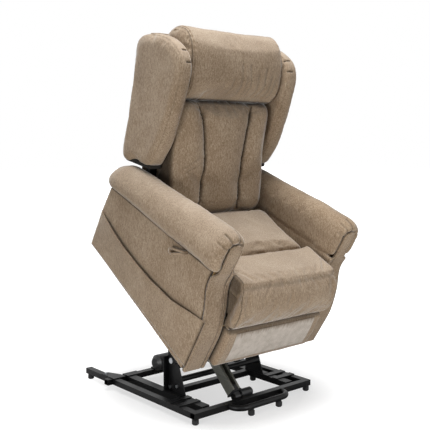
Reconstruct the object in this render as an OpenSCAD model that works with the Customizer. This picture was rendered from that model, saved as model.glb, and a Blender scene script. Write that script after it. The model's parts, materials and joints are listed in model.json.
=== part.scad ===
// Lift recliner, raised for standing up. The chair faces the -Y side, +Z is up,
// and the origin is on the floor at the middle of the whole outline.

/* [Lift] */
// Tilt of the chair in its raised pose, in degrees
lift_tilt = 31.7; // [29:0.1:34]
// Height of the side panels' front bottom corner above the floor when raised
lift_z = 221.7; // [218:0.1:226]
// Setback of that corner from the front base tube when raised
lift_y = 6.9; // [4:0.1:10]
// Clearance between soft pieces and their neighbours
soft_gap = 0.3; // [0.2:0.1:0.5]

/* [Chair body] */
// Width over the outer side panels
chair_w = 745; // [735:1:760]
// Width between the two arms, which the seat sits in
seat_gap = 532; // [528:1:536]
// Depth of the side panels, front to back
panel_d = 805; // [798:1:812]
// Thickness of a padded side panel
panel_t = 20; // [16:1:22]
// Height of the arm's top at its front
arm_top = 612; // [606:1:620]
// Height of the arm's top near its rear end
arm_top_rear = 472; // [466:1:478]
// How far the arm rolls hang out past the side panels
arm_overhang = 30; // [20:1:36]
// Height of the seat's surface at the back
seat_top = 418; // [412:1:424]
// Height of the seat's surface at the front
seat_front_top = 390; // [386:1:396]

/* [Back] */
// Lean of the back from upright, measured in the chair, in degrees
back_lean = 24.6; // [23:0.1:26]
// Depth at which the back meets the seat
back_y = 490; // [486:1:496]
// Height of the back above the seat, along its slope
back_h = 740; // [730:1:750]
// Thickness of the back's padding
back_t = 181; // [176:1:184]
// Thickness of a wing
wing_t = 62; // [56:1:70]
// Height of the head pillow along the back
pillow_h = 288; // [276:1:296]

/* [Base] */
// Width over the outer base rails
base_w = 670; // [660:1:680]
// Distance between the front and the rear cross tube
base_d = 585; // [575:1:595]
// Length of the rear outriggers behind the rear cross tube
outrigger_len = 200; // [190:1:210]
// Width of the square-cornered base tubes
tube_w = 30; // [28:1:32]
// Height of the base tubes
tube_h = 25; // [22:1:26]
// Wall of the base tubes
tube_wall = 2; // [1.5:0.5:3]
// Height of the rubber feet
foot_h = 25; // [22:1:28]
// Radius of the rubber feet
foot_r = 14; // [12:1:16]
// How far the front bumper stands out
bumper_out = 67; // [62:1:72]

/* [Lift drive] */
// Radius of the pivot pins
pin_r = 8; // [6:0.5:9]
// Running clearance of the pins, on the radius
pin_fit = 0.05; // [0.03:0.01:0.1]
// Thickness of the lift arms, guide links and hangers
plate_t = 6; // [5:0.5:6]
// Sheet thickness of the uprights
upright_t = 4; // [3:0.5:4]
// Width of the actuator's channel
channel_w = 40; // [36:1:44]
// Depth of the actuator's channel
channel_h = 50; // [46:1:54]
// Length of the actuator's channel
channel_len = 235; // [225:1:245]

/* [Hidden] */

$fn = 48;
// One overrun serves all the cuts
cut = 5;
// Gap between plates that pass each other
plate_gap = 0.5;

fabric = [0.56, 0.49, 0.41];
fabric_dark = [0.47, 0.41, 0.34];
fabric_pale = [0.85, 0.83, 0.8];
powder_black = [0.09, 0.09, 0.1];
rubber_black = [0.05, 0.05, 0.05];
zinc = [0.75, 0.76, 0.78];
alloy = [0.62, 0.62, 0.6];
plywood = [0.72, 0.58, 0.42];

// Levels of the base
rail_bottom = foot_h;
deck = rail_bottom + tube_h;
rail_x = base_w/2 - tube_w/2;
outrigger_end = base_d + tube_w/2 + outrigger_len;
cross_overhang = 25;
inner_w = 40;
rear_face = base_d - tube_w/2;
front_face = tube_w/2;
inner_gap = 93;
inner_x = base_w/2 - inner_gap;
inner_front = 30;
mid_y = 285;
base_plate_t = 4;

// Lift geometry: fixed pivots in the base, moving pivots in the chair
arm_pivot = [276, 250];
link_pivot = [258, 186];
arm_joint = [150.2, 67.8];
link_joint = [88.7, 42.5];
drive_pivot = [34, 50];
drive_angle = 44.3;
drive_reach = 400;

// Layers of the lift linkage, measured out from the middle
linkage_in = 127;
hanger_x = base_w/2 - linkage_in;
lift_arm_x = hanger_x + 9;
web_x = hanger_x + 17;
link_x = hanger_x + 25;

// Other places in the chair
knee = [35, 315];
recline_pivot = [650, 293];
rail_z = 282;
seat_rail_h = 22;
seat_rail_x = hanger_x - 3;
arm_front = 60;
arm_rear = 812;

// Where a point of the chair's side view lies when it is raised
function raised(p) = [
    lift_y + p.x*cos(lift_tilt) - p.y*sin(lift_tilt),
    lift_z + p.x*sin(lift_tilt) + p.y*cos(lift_tilt)];

// Frames
module in_base() { translate([0, -half_y, 0]) children(); }
module in_chair() {
    in_base() translate([0, lift_y, lift_z]) rotate([lift_tilt, 0, 0]) children();
}
module in_back() {
    in_chair() translate([0, back_y, seat_top - back_drop]) rotate([-back_lean, 0, 0]) children();
}
back_drop = 3;
// Side view of a chair point in the back's own frame: depth, then height
function to_back(p) = let (d = p - [back_y, seat_top - back_drop])
    [d.x*cos(back_lean) - d.y*sin(back_lean), d.x*sin(back_lean) + d.y*cos(back_lean)];
recline_in_back = to_back(recline_pivot);

// A side view outline, extruded across the chair from x0 to x1
module across(x0, x1) {
    translate([x0, 0, 0]) rotate([90, 0, 90]) linear_extrude(x1 - x0) children();
}
// The same on one side, from a to b out from the middle
module across_side(side, a, b) {
    across(side > 0 ? a : -b, side > 0 ? b : -a) children();
}
// A front view outline, extruded from y0 back to y1
module along(y0, y1) {
    translate([0, y1, 0]) rotate([90, 0, 0]) linear_extrude(y1 - y0) children();
}
// Section of a rectangular tube
module tube_section(w, h, wall) {
    difference() {
        square([w, h], center = true);
        square([w - 2*wall, h - 2*wall], center = true);
    }
}
// A box from its lowest to its highest corner
module block(low, high) { translate(low) cube(high - low); }
// A pin along X
module pin_x(x0, x1, p, r) {
    translate([x0, p.x, p.y]) rotate([0, 90, 0]) cylinder(r = r, h = x1 - x0);
}
module pin_side(side, a, b, p, r) {
    pin_x(side > 0 ? a : -b, side > 0 ? b : -a, p, r);
}
// A flat bar with round ends round two points
module bar(p, q, r) {
    d = q - p;
    translate(p) circle(r);
    translate(q) circle(r);
    translate(p) rotate(atan2(d.y, d.x)) translate([0, -r]) square([norm(d), 2*r]);
}
// Outline round circles at the places p with radii r, listed anticlockwise
function edge_turn(p, r, i) = let (n = len(p), j = (i + 1) % n, d = p[j] - p[i])
    atan2(d.y, d.x) - acos((r[i] - r[j])/norm(d));
function round_outline(p, r, k = 8) = let (n = len(p)) [for (i = [0:n - 1])
    let (a = edge_turn(p, r, (i + n - 1) % n), b = edge_turn(p, r, i), turn = (b - a + 720) % 360)
    for (j = [0:k]) p[i] + r[i]*[cos(a + turn*j/k), sin(a + turn*j/k)]];
// Where a line from p touches the circle round c on its upper side
function tangent(p, c, r) = let (d = c - p, a = atan2(d.y, d.x) + asin(r/norm(d)), l = sqrt(norm(d)^2 - r^2))
    p + l*[cos(a), sin(a)];

// Smooth closed outline through its points, with k steps from each to the next
function spline(a, b, c, d, t) = 0.5*((2*b) + (c - a)*t + (2*a - 5*b + 4*c - d)*t^2 + (3*b - a - 3*c + d)*t^3);
function closed_curve(p, k) = let (n = len(p))
    [for (i = [0:n - 1], j = [0:k - 1]) spline(p[(i + n - 1) % n], p[i], p[(i + 1) % n], p[(i + 2) % n], j/k)];
function open_curve(p, k) = let (n = len(p))
    concat([for (i = [0:n - 2], j = [0:k - 1])
        spline(p[max(i - 1, 0)], p[i], p[i + 1], p[min(i + 2, n - 1)], j/k)], [p[n - 1]]);
function middle(ring) = [for (i = [0:2]) [for (p = ring) p[i]]*[for (p = ring) 1]/len(ring)];
function bump(x, power) = 1 - abs(x)^power;

// A skin over rings of points; turned says which way round the rings run
module loft(rings, turned = false) {
    n = len(rings[0]);
    m = len(rings);
    walls = [for (k = [0:m - 2], i = [0:n - 1]) let (j = (i + 1) % n, a = k*n + i, b = k*n + j)
        each [[a, b, b + n], [a, b + n, a + n]]];
    first_cap = [for (i = [0:n - 1]) [m*n, (i + 1) % n, i]];
    last_cap = [for (i = [0:n - 1]) [m*n + 1, (m - 1)*n + i, (m - 1)*n + (i + 1) % n]];
    faces = concat(walls, first_cap, last_cap);
    polyhedron(
        points = concat([for (r = rings) each r], [middle(rings[0]), middle(rings[m - 1])]),
        faces = turned ? [for (f = faces) [f[2], f[1], f[0]]] : faces);
}

// Base: the welded floor frame

module front_cross_tube() {
    color(powder_black) in_base() translate([0, 0, rail_bottom + tube_h/2])
        across(-base_w/2, base_w/2) tube_section(tube_w, tube_h, tube_wall);
}

module rear_cross_tube() {
    half = base_w/2 + cross_overhang;
    color(powder_black) in_base() translate([0, base_d, rail_bottom + tube_h/2])
        across(-half, half) tube_section(tube_w, tube_h, tube_wall);
}

module mid_cross_tube() {
    half = inner_x - inner_w/2;
    color(powder_black) in_base() translate([0, mid_y, rail_bottom + tube_h/2])
        across(-half, half) tube_section(tube_w, tube_h, tube_wall);
}

module outer_rail(side) {
    color(powder_black) in_base() translate([side*rail_x, 0, rail_bottom + tube_h/2])
        along(tube_w/2, base_d - tube_w/2) tube_section(tube_w, tube_h, tube_wall);
}
module left_outer_rail() { outer_rail(-1); }
module right_outer_rail() { outer_rail(1); }

module inner_rails() {
    for (side = [-1, 1])
        color(powder_black) in_base() translate([side*inner_x, 0, rail_bottom + tube_h/2])
            along(inner_front, base_d - tube_w/2) tube_section(inner_w, tube_h, tube_wall);
}

module outriggers() {
    for (side = [-1, 1])
        color(powder_black) in_base() translate([side*rail_x, 0, rail_bottom + tube_h/2])
            along(base_d + tube_w/2, outrigger_end) tube_section(tube_w, tube_h, tube_wall);
}

bumper_r = 12.5;
bumper_bend = 50;
bumper_x = 150;
module front_bumper() {
    front = bumper_out - bumper_bend;
    color(powder_black) in_base() translate([0, 0, rail_bottom + bumper_r]) {
        translate([bumper_bend - bumper_x, -bumper_out, 0]) rotate([0, 90, 0])
            cylinder(r = bumper_r, h = 2*(bumper_x - bumper_bend));
        for (side = [-1, 1]) {
            translate([side*(bumper_x - bumper_bend), -front, 0]) rotate([0, 0, side > 0 ? 270 : 180])
                rotate_extrude(angle = 90) translate([bumper_bend, 0]) circle(bumper_r);
            translate([side*bumper_x, -tube_w/2, 0]) rotate([90, 0, 0])
                cylinder(r = bumper_r, h = front - tube_w/2);
        }
    }
}

// Flat straps, clamp plates and corner gussets, all on top of the tubes
strap_w = 30;
strap_places = [100, 158];
clamp_w = 75;
clamp_x = 225;
clamp_front = 556;
gusset_front = 560;
gusset_len = 105;
gusset_w = 62;
gusset_tip_w = 34;
bolt_r = 7;
bolt_cap_h = 6;
gusset_bolt_y = 648;
module base_plates() {
    inner_edge = inner_x - inner_w/2;
    color(powder_black) in_base() for (side = [-1, 1]) {
        for (y = strap_places)
            along(y - strap_w/2, y + strap_w/2) translate([side*(inner_edge + base_w/2)/2, deck + base_plate_t/2])
                square([base_w/2 - inner_edge, base_plate_t], center = true);
        block([side*clamp_x - clamp_w/2, clamp_front, deck],
            [side*clamp_x + clamp_w/2, base_d + tube_w/2, deck + base_plate_t]);
        translate([0, 0, deck]) linear_extrude(base_plate_t) polygon([
            [side*base_w/2, gusset_front],
            [side*(base_w/2 - gusset_w), gusset_front],
            [side*(base_w/2 - gusset_w), base_d + tube_w/2],
            [side*(base_w/2 - gusset_tip_w), gusset_front + gusset_len],
            [side*base_w/2, gusset_front + gusset_len]]);
    }
}

// Rubber feet under the corners, the bumper, the outriggers and the middle
foot_inset = 20;
bumper_foot_x = 80;
mid_foot_y = 262;
foot_places = [[rail_x, 0], [rail_x, outrigger_end - foot_inset], [inner_x, mid_foot_y]];
foot_collar_h = 5;
foot_collar_r = 11;
foot_chamfer = 4;
module foot() {
    rotate_extrude() polygon([[0, 0], [foot_r - foot_chamfer, 0], [foot_r, foot_chamfer],
        [foot_r, foot_h - foot_collar_h], [foot_collar_r, foot_h - foot_collar_h],
        [foot_collar_r, foot_h], [0, foot_h]]);
}
module base_feet() {
    color(rubber_black) in_base() for (side = [-1, 1]) {
        for (p = foot_places) translate([side*p.x, p.y, 0]) foot();
        translate([side*bumper_foot_x, -bumper_out, 0]) foot();
    }
}

// Cap head bolts of the gussets and of the uprights' feet
upright_bolts = [[232, 78], [279, 66]];
upright_bolt_h = 7;
module base_bolts() {
    for (side = [-1, 1]) {
        color(rubber_black) in_base() translate([side*rail_x, gusset_bolt_y, deck + base_plate_t])
            cylinder(r = bolt_r, h = bolt_cap_h);
        for (p = upright_bolts)
            color(zinc) in_base() pin_side(side, web_x + upright_t, web_x + upright_t + upright_bolt_h, p, bolt_r);
    }
}

// Uprights that carry the lift links
upright_front = 178;
upright_rear = 297;
upright_boss_r = 21;
flange_w = 25;
flange_top = 200;
foot_flange_w = 36;
module upright(side) {
    foot_point = [upright_front, deck];
    color(powder_black) in_base() {
        across_side(side, web_x, web_x + upright_t) difference() {
            union() {
                polygon([foot_point, [upright_rear, deck],
                    [arm_pivot.x + upright_boss_r, arm_pivot.y], arm_pivot,
                    tangent(foot_point, arm_pivot, upright_boss_r)]);
                translate(arm_pivot) circle(upright_boss_r);
            }
            translate(arm_pivot) circle(pin_r + pin_fit);
            translate(link_pivot) circle(pin_r + pin_fit);
        }
        across_side(side, web_x + upright_t, web_x + upright_t + flange_w)
            translate([upright_rear - upright_t, deck]) square([upright_t, flange_top - deck]);
        across_side(side, web_x + upright_t, web_x + upright_t + foot_flange_w - upright_t)
            translate([upright_front, deck]) square([upright_rear - upright_t - upright_front, upright_t]);
    }
}
module left_upright() { upright(-1); }
module right_upright() { upright(1); }

// Cross tube that ties the two uprights together
tie_y = 215;
tie_z = 112;
tie_r = 12.5;
module upright_tie() {
    color(powder_black) in_base() pin_x(-web_x, web_x, [tie_y, tie_z], tie_r);
}

// Clevis on the front cross tube that holds the actuator's lower end
drive_x = -70;
ear_t = 5;
ear_r = 14;
fork_half = 14;
module lift_bracket() {
    color(powder_black) in_base() {
        for (s = [-1, 1]) across(drive_x + s*(fork_half + ear_t/2) - ear_t/2, drive_x + s*(fork_half + ear_t/2) + ear_t/2)
            union() {
                translate(drive_pivot) circle(ear_r);
                polygon([[tube_w/2, rail_bottom], [tube_w/2, deck], drive_pivot + [0, ear_r], drive_pivot - [0, ear_r],
                    [tube_w/2, rail_bottom]]);
            }
        pin_x(drive_x - fork_half, drive_x + fork_half, drive_pivot, pin_r);
    }
}

// Round power pack across the rear of the base, and its two saddles
pack_r = 37;
pack_forward = 50;
pack_y = base_d - pack_forward;
pack_z = 91;
pack_x0 = -128;
pack_x1 = 92;
pack_dome = 14;
module power_pack() {
    color(rubber_black) in_base() translate([pack_x0, pack_y, pack_z]) rotate([0, 90, 0]) rotate_extrude()
        polygon([[0, 0], [pack_r - pack_dome, 0], [pack_r, pack_dome],
            [pack_r, pack_x1 - pack_x0 - pack_dome], [pack_r - pack_dome, pack_x1 - pack_x0], [0, pack_x1 - pack_x0]]);
}
saddle_w = 24;
saddle_places = [-90, 50];
saddle_t = 5;
module power_pack_saddles() {
    color(powder_black) in_base() for (x = saddle_places)
        across(x - saddle_w/2, x + saddle_w/2) difference() {
            union() {
                polygon([[pack_y - pack_r/2, pack_z - pack_r - saddle_t], [pack_y + pack_r, pack_z - pack_r - saddle_t],
                    [base_d + tube_w/2, deck], [base_d - tube_w/2, deck + saddle_t],
                    [pack_y + pack_r + saddle_t, pack_z], [pack_y - pack_r/2, pack_z]]);
                translate([base_d - tube_w/2, deck]) square([tube_w, saddle_t]);
            }
            translate([pack_y, pack_z]) circle(pack_r + pin_fit);
            translate([rear_face, rail_bottom]) square([tube_w, tube_h]);
        }
}

// Pins of the lift arms and the guide links, held in the uprights
head_t = 5;
head_r = 12;
module upright_pins() {
    color(zinc) in_base() for (side = [-1, 1]) {
        pin_side(side, lift_arm_x - pin_fit, web_x + upright_t + pin_fit, arm_pivot, pin_r);
        pin_side(side, web_x + upright_t + pin_fit, web_x + upright_t + pin_fit + head_t/2, arm_pivot, head_r);
        pin_side(side, web_x, link_x + plate_t + pin_fit, link_pivot, pin_r);
        pin_side(side, link_x + plate_t + pin_fit, link_x + plate_t + pin_fit + head_t, link_pivot, head_r);
    }
}

// Lift arms: bell cranks from the upright to the chair, joined by the torque tube
lift_eye_r = 20;
crank = drive_pivot + drive_reach*[cos(drive_angle), sin(drive_angle)];
torque_r = 16;
torque_wall = 3;
module lift_arm(side) {
    joint = raised(arm_joint);
    color(powder_black) in_base() across_side(side, lift_arm_x, lift_arm_x + plate_t) difference() {
        polygon(round_outline([arm_pivot, crank, joint], [lift_eye_r, lift_eye_r, lift_eye_r]));
        translate(arm_pivot) circle(pin_r + pin_fit);
        translate(joint) circle(pin_r + pin_fit);
    }
}
module left_lift_arm() { lift_arm(-1); }
module right_lift_arm() { lift_arm(1); }

lug_t = 8;
lug_reach = 26;
lug_r = 13;
module torque_tube() {
    back_along = -[cos(drive_angle), sin(drive_angle)];
    color(powder_black) in_base() {
        difference() {
            pin_x(-lift_arm_x, lift_arm_x, crank, torque_r);
            pin_x(-lift_arm_x - cut, lift_arm_x + cut, crank, torque_r - torque_wall);
        }
        across(drive_x - lug_t/2, drive_x + lug_t/2) difference() {
            bar(crank, crank + lug_reach*back_along, lug_r);
            translate(crank) circle(torque_r - torque_wall/2);
        }
    }
}

// Guide links, outboard of the uprights
link_r = 17;
// Path of the chair's pin in the wide upper eye: along and across the link, as
// shares of its length
eye_path_shares = [[0, -0.0013], [0.0416, 0.0117], [0.052, 0.0217], [0.0243, 0.0178]];
eye_play = 0.8;
module guide_links() {
    joint = raised(link_joint);
    run = joint - link_pivot;
    path = [for (p = eye_path_shares) joint + p.x*run + p.y*[-run.y, run.x]];
    color(powder_black) in_base() for (side = [-1, 1])
        across_side(side, link_x, link_x + plate_t) difference() {
            polygon(round_outline([link_pivot, path[2]], [link_r, link_r]));
            translate(link_pivot) circle(pin_r + pin_fit);
            polygon(round_outline(path, [for (p = path) pin_r + eye_play]));
        }
}

// Lift actuator: channel, gear motor at its lower end, and rod
module on_drive() {
    in_base() translate([drive_x, drive_pivot.x, drive_pivot.y]) rotate([drive_angle, 0, 0]) children();
}
channel_wall = 3;
channel_start = 21;
channel_lip = 9;
channel_cap = 24;
rod_r = 10;
rod_fit = 0.3;
module lift_channel() {
    color(alloy) on_drive() {
        along(channel_start, channel_start + channel_len) difference() {
            square([channel_w, channel_h], center = true);
            square([channel_w - 2*channel_wall, channel_h - 2*channel_wall], center = true);
            translate([channel_lip - channel_w/2, 0]) square([channel_w - 2*channel_lip, channel_h]);
        }
        along(channel_start + channel_len - channel_cap, channel_start + channel_len) difference() {
            square([channel_w - 2*channel_wall, channel_h - 2*channel_wall], center = true);
            circle(rod_r + rod_fit);
        }
    }
}

eye_r = 13;
gear_w = 44;
gear_h = 54;
gear_from = 15;
motor_r = 19;
motor_len = 68;
motor_taper = 8;
motor_along = 7;
plug_len = 24;
module lift_gearmotor() {
    plug_w = channel_w - 2*channel_wall;
    plug_h = channel_h - 2*channel_wall;
    color(rubber_black) on_drive() {
        difference() {
            union() {
                across(-fork_half + plate_gap, fork_half - plate_gap) union() {
                    circle(eye_r);
                    translate([0, -eye_r]) square([channel_start, 2*eye_r]);
                }
                block([-gear_w/2, gear_from + plate_gap, -gear_h/2], [gear_w/2, channel_start, gear_h/2]);
                block([-plug_w/2, channel_start, -plug_h/2], [plug_w/2, channel_start + plug_len, plug_h/2]);
            }
            pin_x(-gear_w, gear_w, [0, 0], pin_r + pin_fit);
        }
        translate([gear_w/2, motor_along, 0]) rotate([0, 90, 0]) rotate_extrude()
            polygon([[0, 0], [motor_r, 0], [motor_r, motor_len - motor_taper],
                [motor_r - motor_taper, motor_len], [0, motor_len]]);
    }
}

fork_cheek_t = 6;
fork_depth = 44;
fork_play = 1;
fork_h = 30;
fork_short = 21;
rod_start = 120;
module lift_rod() {
    crown = drive_reach - lug_reach - fork_depth;
    color(zinc) on_drive() {
        translate([0, rod_start, 0]) rotate([-90, 0, 0]) cylinder(r = rod_r, h = crown - rod_start);
        difference() {
            block([-lug_t/2 - fork_play - fork_cheek_t, crown, -fork_h/2],
                [lug_t/2 + fork_play + fork_cheek_t, drive_reach - fork_short, fork_h/2]);
            block([-lug_t/2 - fork_play, crown + fork_cheek_t, -fork_h/2 - cut],
                [lug_t/2 + fork_play, drive_reach, fork_h/2 + cut]);
        }
    }
}

// Chair: steel hangers and seat frame

hanger_front_top = 62;
hanger_rear_top = 225;
hanger_boss_r = 22;
hanger_corner_r = 6;
module hanger(side) {
    color(powder_black) in_chair() across_side(side, hanger_x, hanger_x + plate_t) difference() {
        polygon(round_outline(
            [link_joint, arm_joint, [hanger_rear_top, rail_z - hanger_corner_r], [hanger_front_top, rail_z - hanger_corner_r]],
            [hanger_boss_r, hanger_boss_r, hanger_corner_r, hanger_corner_r]));
        translate(arm_joint) circle(pin_r + pin_fit);
        translate(link_joint) circle(pin_r + pin_fit);
    }
}
module left_hanger() { hanger(-1); }
module right_hanger() { hanger(1); }

spacer_r = 12;
pin_end = 2;
module hanger_pins() {
    color(zinc) in_chair() for (side = [-1, 1]) {
        pin_side(side, hanger_x - pin_fit, lift_arm_x + plate_t + pin_end/2, arm_joint, pin_r);
        pin_side(side, hanger_x - pin_fit - head_t, hanger_x - pin_fit, arm_joint, head_r);
        pin_side(side, hanger_x - pin_fit, link_x + plate_t + pin_end, link_joint, pin_r);
        pin_side(side, hanger_x - pin_fit - head_t, hanger_x - pin_fit, link_joint, head_r);
        pin_side(side, hanger_x + plate_t + pin_fit, link_x - plate_gap, link_joint, spacer_r);
    }
}

seat_rail_front = 45;
rail_past = 18;
lug_plate_t = 5;
knee_eye_r = 13;
knee_pin_r = 4;
post_w = 20;
post_d = 25;
post_gap = 3.3;
post_out = seat_gap/2 - post_gap;
post_in = post_out - post_w;
module seat_rails() {
    rail_out = seat_rail_x + tube_w;
    rail_len = recline_pivot.x + rail_past - seat_rail_front;
    color(powder_black) in_chair() for (side = [-1, 1]) {
        across_side(side, seat_rail_x, rail_out) translate([seat_rail_front, rail_z]) square([rail_len, seat_rail_h]);
        across_side(side, rail_out, rail_out + lug_plate_t) difference() {
            polygon(round_outline([knee, [seat_rail_front + tube_w, rail_z + seat_rail_h/2]], [knee_eye_r, seat_rail_h/2]));
            translate(knee) circle(knee_pin_r + pin_fit);
        }
        pin_side(side, rail_out, post_in - plate_gap, recline_pivot, spacer_r);
        pin_side(side, rail_out, post_out + pin_end, recline_pivot, pin_r);
    }
}

module front_seat_rail() {
    color(powder_black) in_chair() translate([0, seat_rail_front + tube_w/2, rail_z + seat_rail_h/2])
        across(-seat_rail_x, seat_rail_x) tube_section(tube_w, seat_rail_h, tube_wall);
}

rear_rail_y = 425;
drop_ear_t = 6;
root_forward = 20;
root_drop = 32;
recline_root = [rear_rail_y - root_forward, rail_z - root_drop];
module rear_seat_rail() {
    color(powder_black) in_chair() {
        translate([0, rear_rail_y, rail_z + seat_rail_h/2])
            across(-seat_rail_x, seat_rail_x) tube_section(tube_w, seat_rail_h, tube_wall);
        for (s = [-1, 1]) across(s*(fork_half + drop_ear_t/2) - drop_ear_t/2, s*(fork_half + drop_ear_t/2) + drop_ear_t/2)
            union() {
                translate(recline_root) circle(ear_r);
                polygon([recline_root - [ear_r, 0], recline_root + [ear_r, 0],
                    [rear_rail_y + tube_w/2, rail_z], [rear_rail_y - tube_w/2, rail_z]]);
            }
        pin_x(-fork_half, fork_half, recline_root, pin_r);
    }
}

// Sinuous springs from the front to the rear seat rail
wire = 3.6;
spring_r = 12;
spring_turns = 12;
spring_half_w = 20;
spring_count = 5;
spring_pitch = 82;
module spring_loop(turns) {
    for (i = [0:turns - 1]) translate([0, i*2*spring_r]) mirror([i % 2, 0]) {
        translate([spring_half_w - spring_r, spring_r]) difference() {
            circle(spring_r + wire/2);
            circle(spring_r - wire/2);
            translate([-2*spring_r, -2*spring_r]) square([2*spring_r, 4*spring_r]);
        }
        translate([-spring_half_w + spring_r, -wire/2]) square([2*(spring_half_w - spring_r), wire]);
    }
    translate([spring_r - spring_half_w, turns*2*spring_r - wire/2]) square([2*(spring_half_w - spring_r), wire]);
}
module seat_springs() {
    first = seat_rail_front + tube_w;
    span = rear_rail_y - tube_w/2 - first;
    slack = (span - spring_turns*2*spring_r)/2;
    level = rail_z + seat_rail_h - wire;
    color(zinc) in_chair() for (i = [0:spring_count - 1])
        translate([(i - (spring_count - 1)/2)*spring_pitch, first, level]) linear_extrude(wire) {
            translate([0, slack]) spring_loop(spring_turns);
            translate([-wire/2, 0]) square([wire, slack + wire/2]);
            translate([-wire/2, span - slack - wire/2]) square([wire, slack + wire/2]);
        }
}

// Arms: plywood boxes, brackets to the seat frame and their covers

seam_front = 444;
seam_rear = 330;
function along_arm(y) = (y - arm_front)/(arm_rear - arm_front);
function seam(y) = seam_front + (seam_rear - seam_front)*along_arm(y);
// Fall of the arm's ridge along its length, both as shares
ridge_shares = [[0, 0], [0.07, 0.01], [0.29, 0.19], [0.5, 0.44], [0.77, 0.77], [0.92, 1], [1, 1.26]];
function ridge(y) = arm_top - (arm_top - arm_top_rear)*lookup(along_arm(y), ridge_shares);
board_t = 14;
inner_arm_t = 19;
board_in = seat_gap/2 + inner_arm_t;
panel_in = chair_w/2 - panel_t;
facing_t = 20;
frame_rear = 24;
frame_bottom = 18;
rear_lean = 12;
// Front edge of the arms, from the bottom up, as shares of the seam's height
front_edge_shares = [[-0.007, -0.009], [-0.012, 0.2], [-0.011, 0.42], [0.04, 0.64], [0.105, 0.79], [0.13, 0.9], [0.13, 1]];
front_edge = open_curve(front_edge_shares*seam_front, 4);
// The same edge further back, from the arm box's bottom up
front_back = max([for (p = front_edge) p.x]);
function edge_behind(d, low, high) = [for (p = front_edge) if (p.y > low && p.y < high) p + [d, 0]];
module arm_frame(side) {
    y0 = facing_t + front_back + 3*soft_gap;
    y1 = panel_d - frame_rear;
    front = edge_behind(facing_t + 3*soft_gap, frame_bottom, seam(arm_front) - board_t);
    wall = concat([[front[0].x, frame_bottom]], front, [[y0, seam(y0) - board_t], [y1, seam(y1) - board_t], [y1, frame_bottom]]);
    brace_h = seam_front/2;
    color(plywood) in_chair() {
        across_side(side, board_in, board_in + board_t) polygon(wall);
        across_side(side, panel_in - board_t, panel_in - soft_gap) polygon(wall);
        for (x = [y0, y1 - 2*board_t]) across_side(side, board_in + board_t, panel_in - board_t)
            translate([x, frame_bottom]) square([2*board_t, brace_h - frame_bottom]);
        across_side(side, board_in, panel_in - soft_gap) polygon([
            [y0, seam(y0) - board_t], [y1, seam(y1) - board_t],
            [y1, seam(y1) - soft_gap], [y0, seam(y0) - soft_gap]]);
    }
}
module left_arm_frame() { arm_frame(-1); }
module right_arm_frame() { arm_frame(1); }

// Steel angles from the seat rails out to the arm boxes
bracket_places = [110, 400];
bracket_w = 50;
bracket_t = 4;
bracket_h = 40;
module arm_brackets() {
    rail_out = seat_rail_x + tube_w;
    color(powder_black) in_chair() for (side = [-1, 1], y = bracket_places) {
        across_side(side, rail_out, board_in) translate([y, rail_z]) square([bracket_w, bracket_t]);
        across_side(side, board_in - bracket_t, board_in) translate([y, rail_z]) square([bracket_w, bracket_h]);
    }
}

// Side panels, with a return round the rear corner
module side_panel(side) {
    front = edge_behind(facing_t + soft_gap, -panel_d, seam_front);
    y1 = panel_d - frame_rear + soft_gap;
    y2 = panel_d - rear_lean;
    top = seam(y2) - soft_gap;
    color(fabric) in_chair() {
        across_side(side, panel_in, chair_w/2) polygon(concat(front,
            [front[len(front) - 1] + [0, soft_gap]], [[y2, top], [panel_d, frame_bottom]]));
        across_side(side, board_in - panel_t + soft_gap, panel_in) polygon([
            [y1, frame_bottom], [panel_d, frame_bottom], [y2, top], [y1, top]]);
    }
}
module left_side_panel() { side_panel(-1); }
module right_side_panel() { side_panel(1); }

// Front facings: full width to the roll, then a round ended tongue up its front
tongue_in = 291;
tongue_out = 350;
tongue_top = 572;
tongue_back = 8;
tongue_t = 11;
module facing_outline() {
    r = (tongue_out - tongue_in)/2;
    translate([seat_gap/2 + soft_gap, -panel_t]) square([(chair_w - seat_gap)/2 - soft_gap, seam_front + panel_t - soft_gap]);
    translate([tongue_in, 0]) square([tongue_out - tongue_in, tongue_top - r]);
    translate([tongue_in + r, tongue_top - r]) circle(r);
}
module front_facings() {
    low = edge_behind(0, -panel_d, seam_front);
    top = front_edge[len(front_edge) - 1] - [tongue_back, 0];
    front = concat(low, [top, [top.x - tongue_t/2, tongue_top]]);
    rear = concat([[arm_front - soft_gap, tongue_top], [arm_front - soft_gap, seam_front - soft_gap]],
        [for (i = [len(low) - 1:-1:0]) low[i] + [facing_t, 0]]);
    color(fabric) in_chair() for (side = [-1, 1])
        intersection() {
            across_side(side, seat_gap/2, chair_w/2) polygon(concat(front, rear));
            mirror([side > 0 ? 0 : 1, 0, 0]) along(-panel_d, panel_d) facing_outline();
        }
}

// Arm rolls: section as shares of the roll's width and height, from the inner
// bottom edge over the top and round the overhang
roll_shares = [[0.02, 0], [-0.01, 0.35], [0.08, 0.8], [0.42, 1], [0.78, 0.86], [1, 0.5], [0.93, 0.12], [0.72, -0.02], [0.4, 0]];
// Places along the roll as shares of its length, and its fullness there
roll_stations = [[0, 0.86], [0.012, 0.95], [0.04, 1], [0.13, 0.985], [0.3, 0.97], [0.48, 0.985], [0.66, 0.975], [0.82, 0.99], [0.92, 0.96], [0.975, 0.84], [1, 0.62]];
roll_section = closed_curve(roll_shares, 2);
function roll_ring(side, k) = let (s = roll_stations[k], x0 = seat_gap/2, w = chair_w/2 + arm_overhang - x0,
    y = arm_front + s[0]*(arm_rear - arm_front), low = seam(y) + soft_gap, h = ridge(y) - low)
    [for (p = roll_section) [side*(x0 + w*(0.5 + (p.x - 0.5)*s[1])), y, low + max(0, h*p.y)*(p.y > 0.1 ? s[1] : 1)]];
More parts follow.
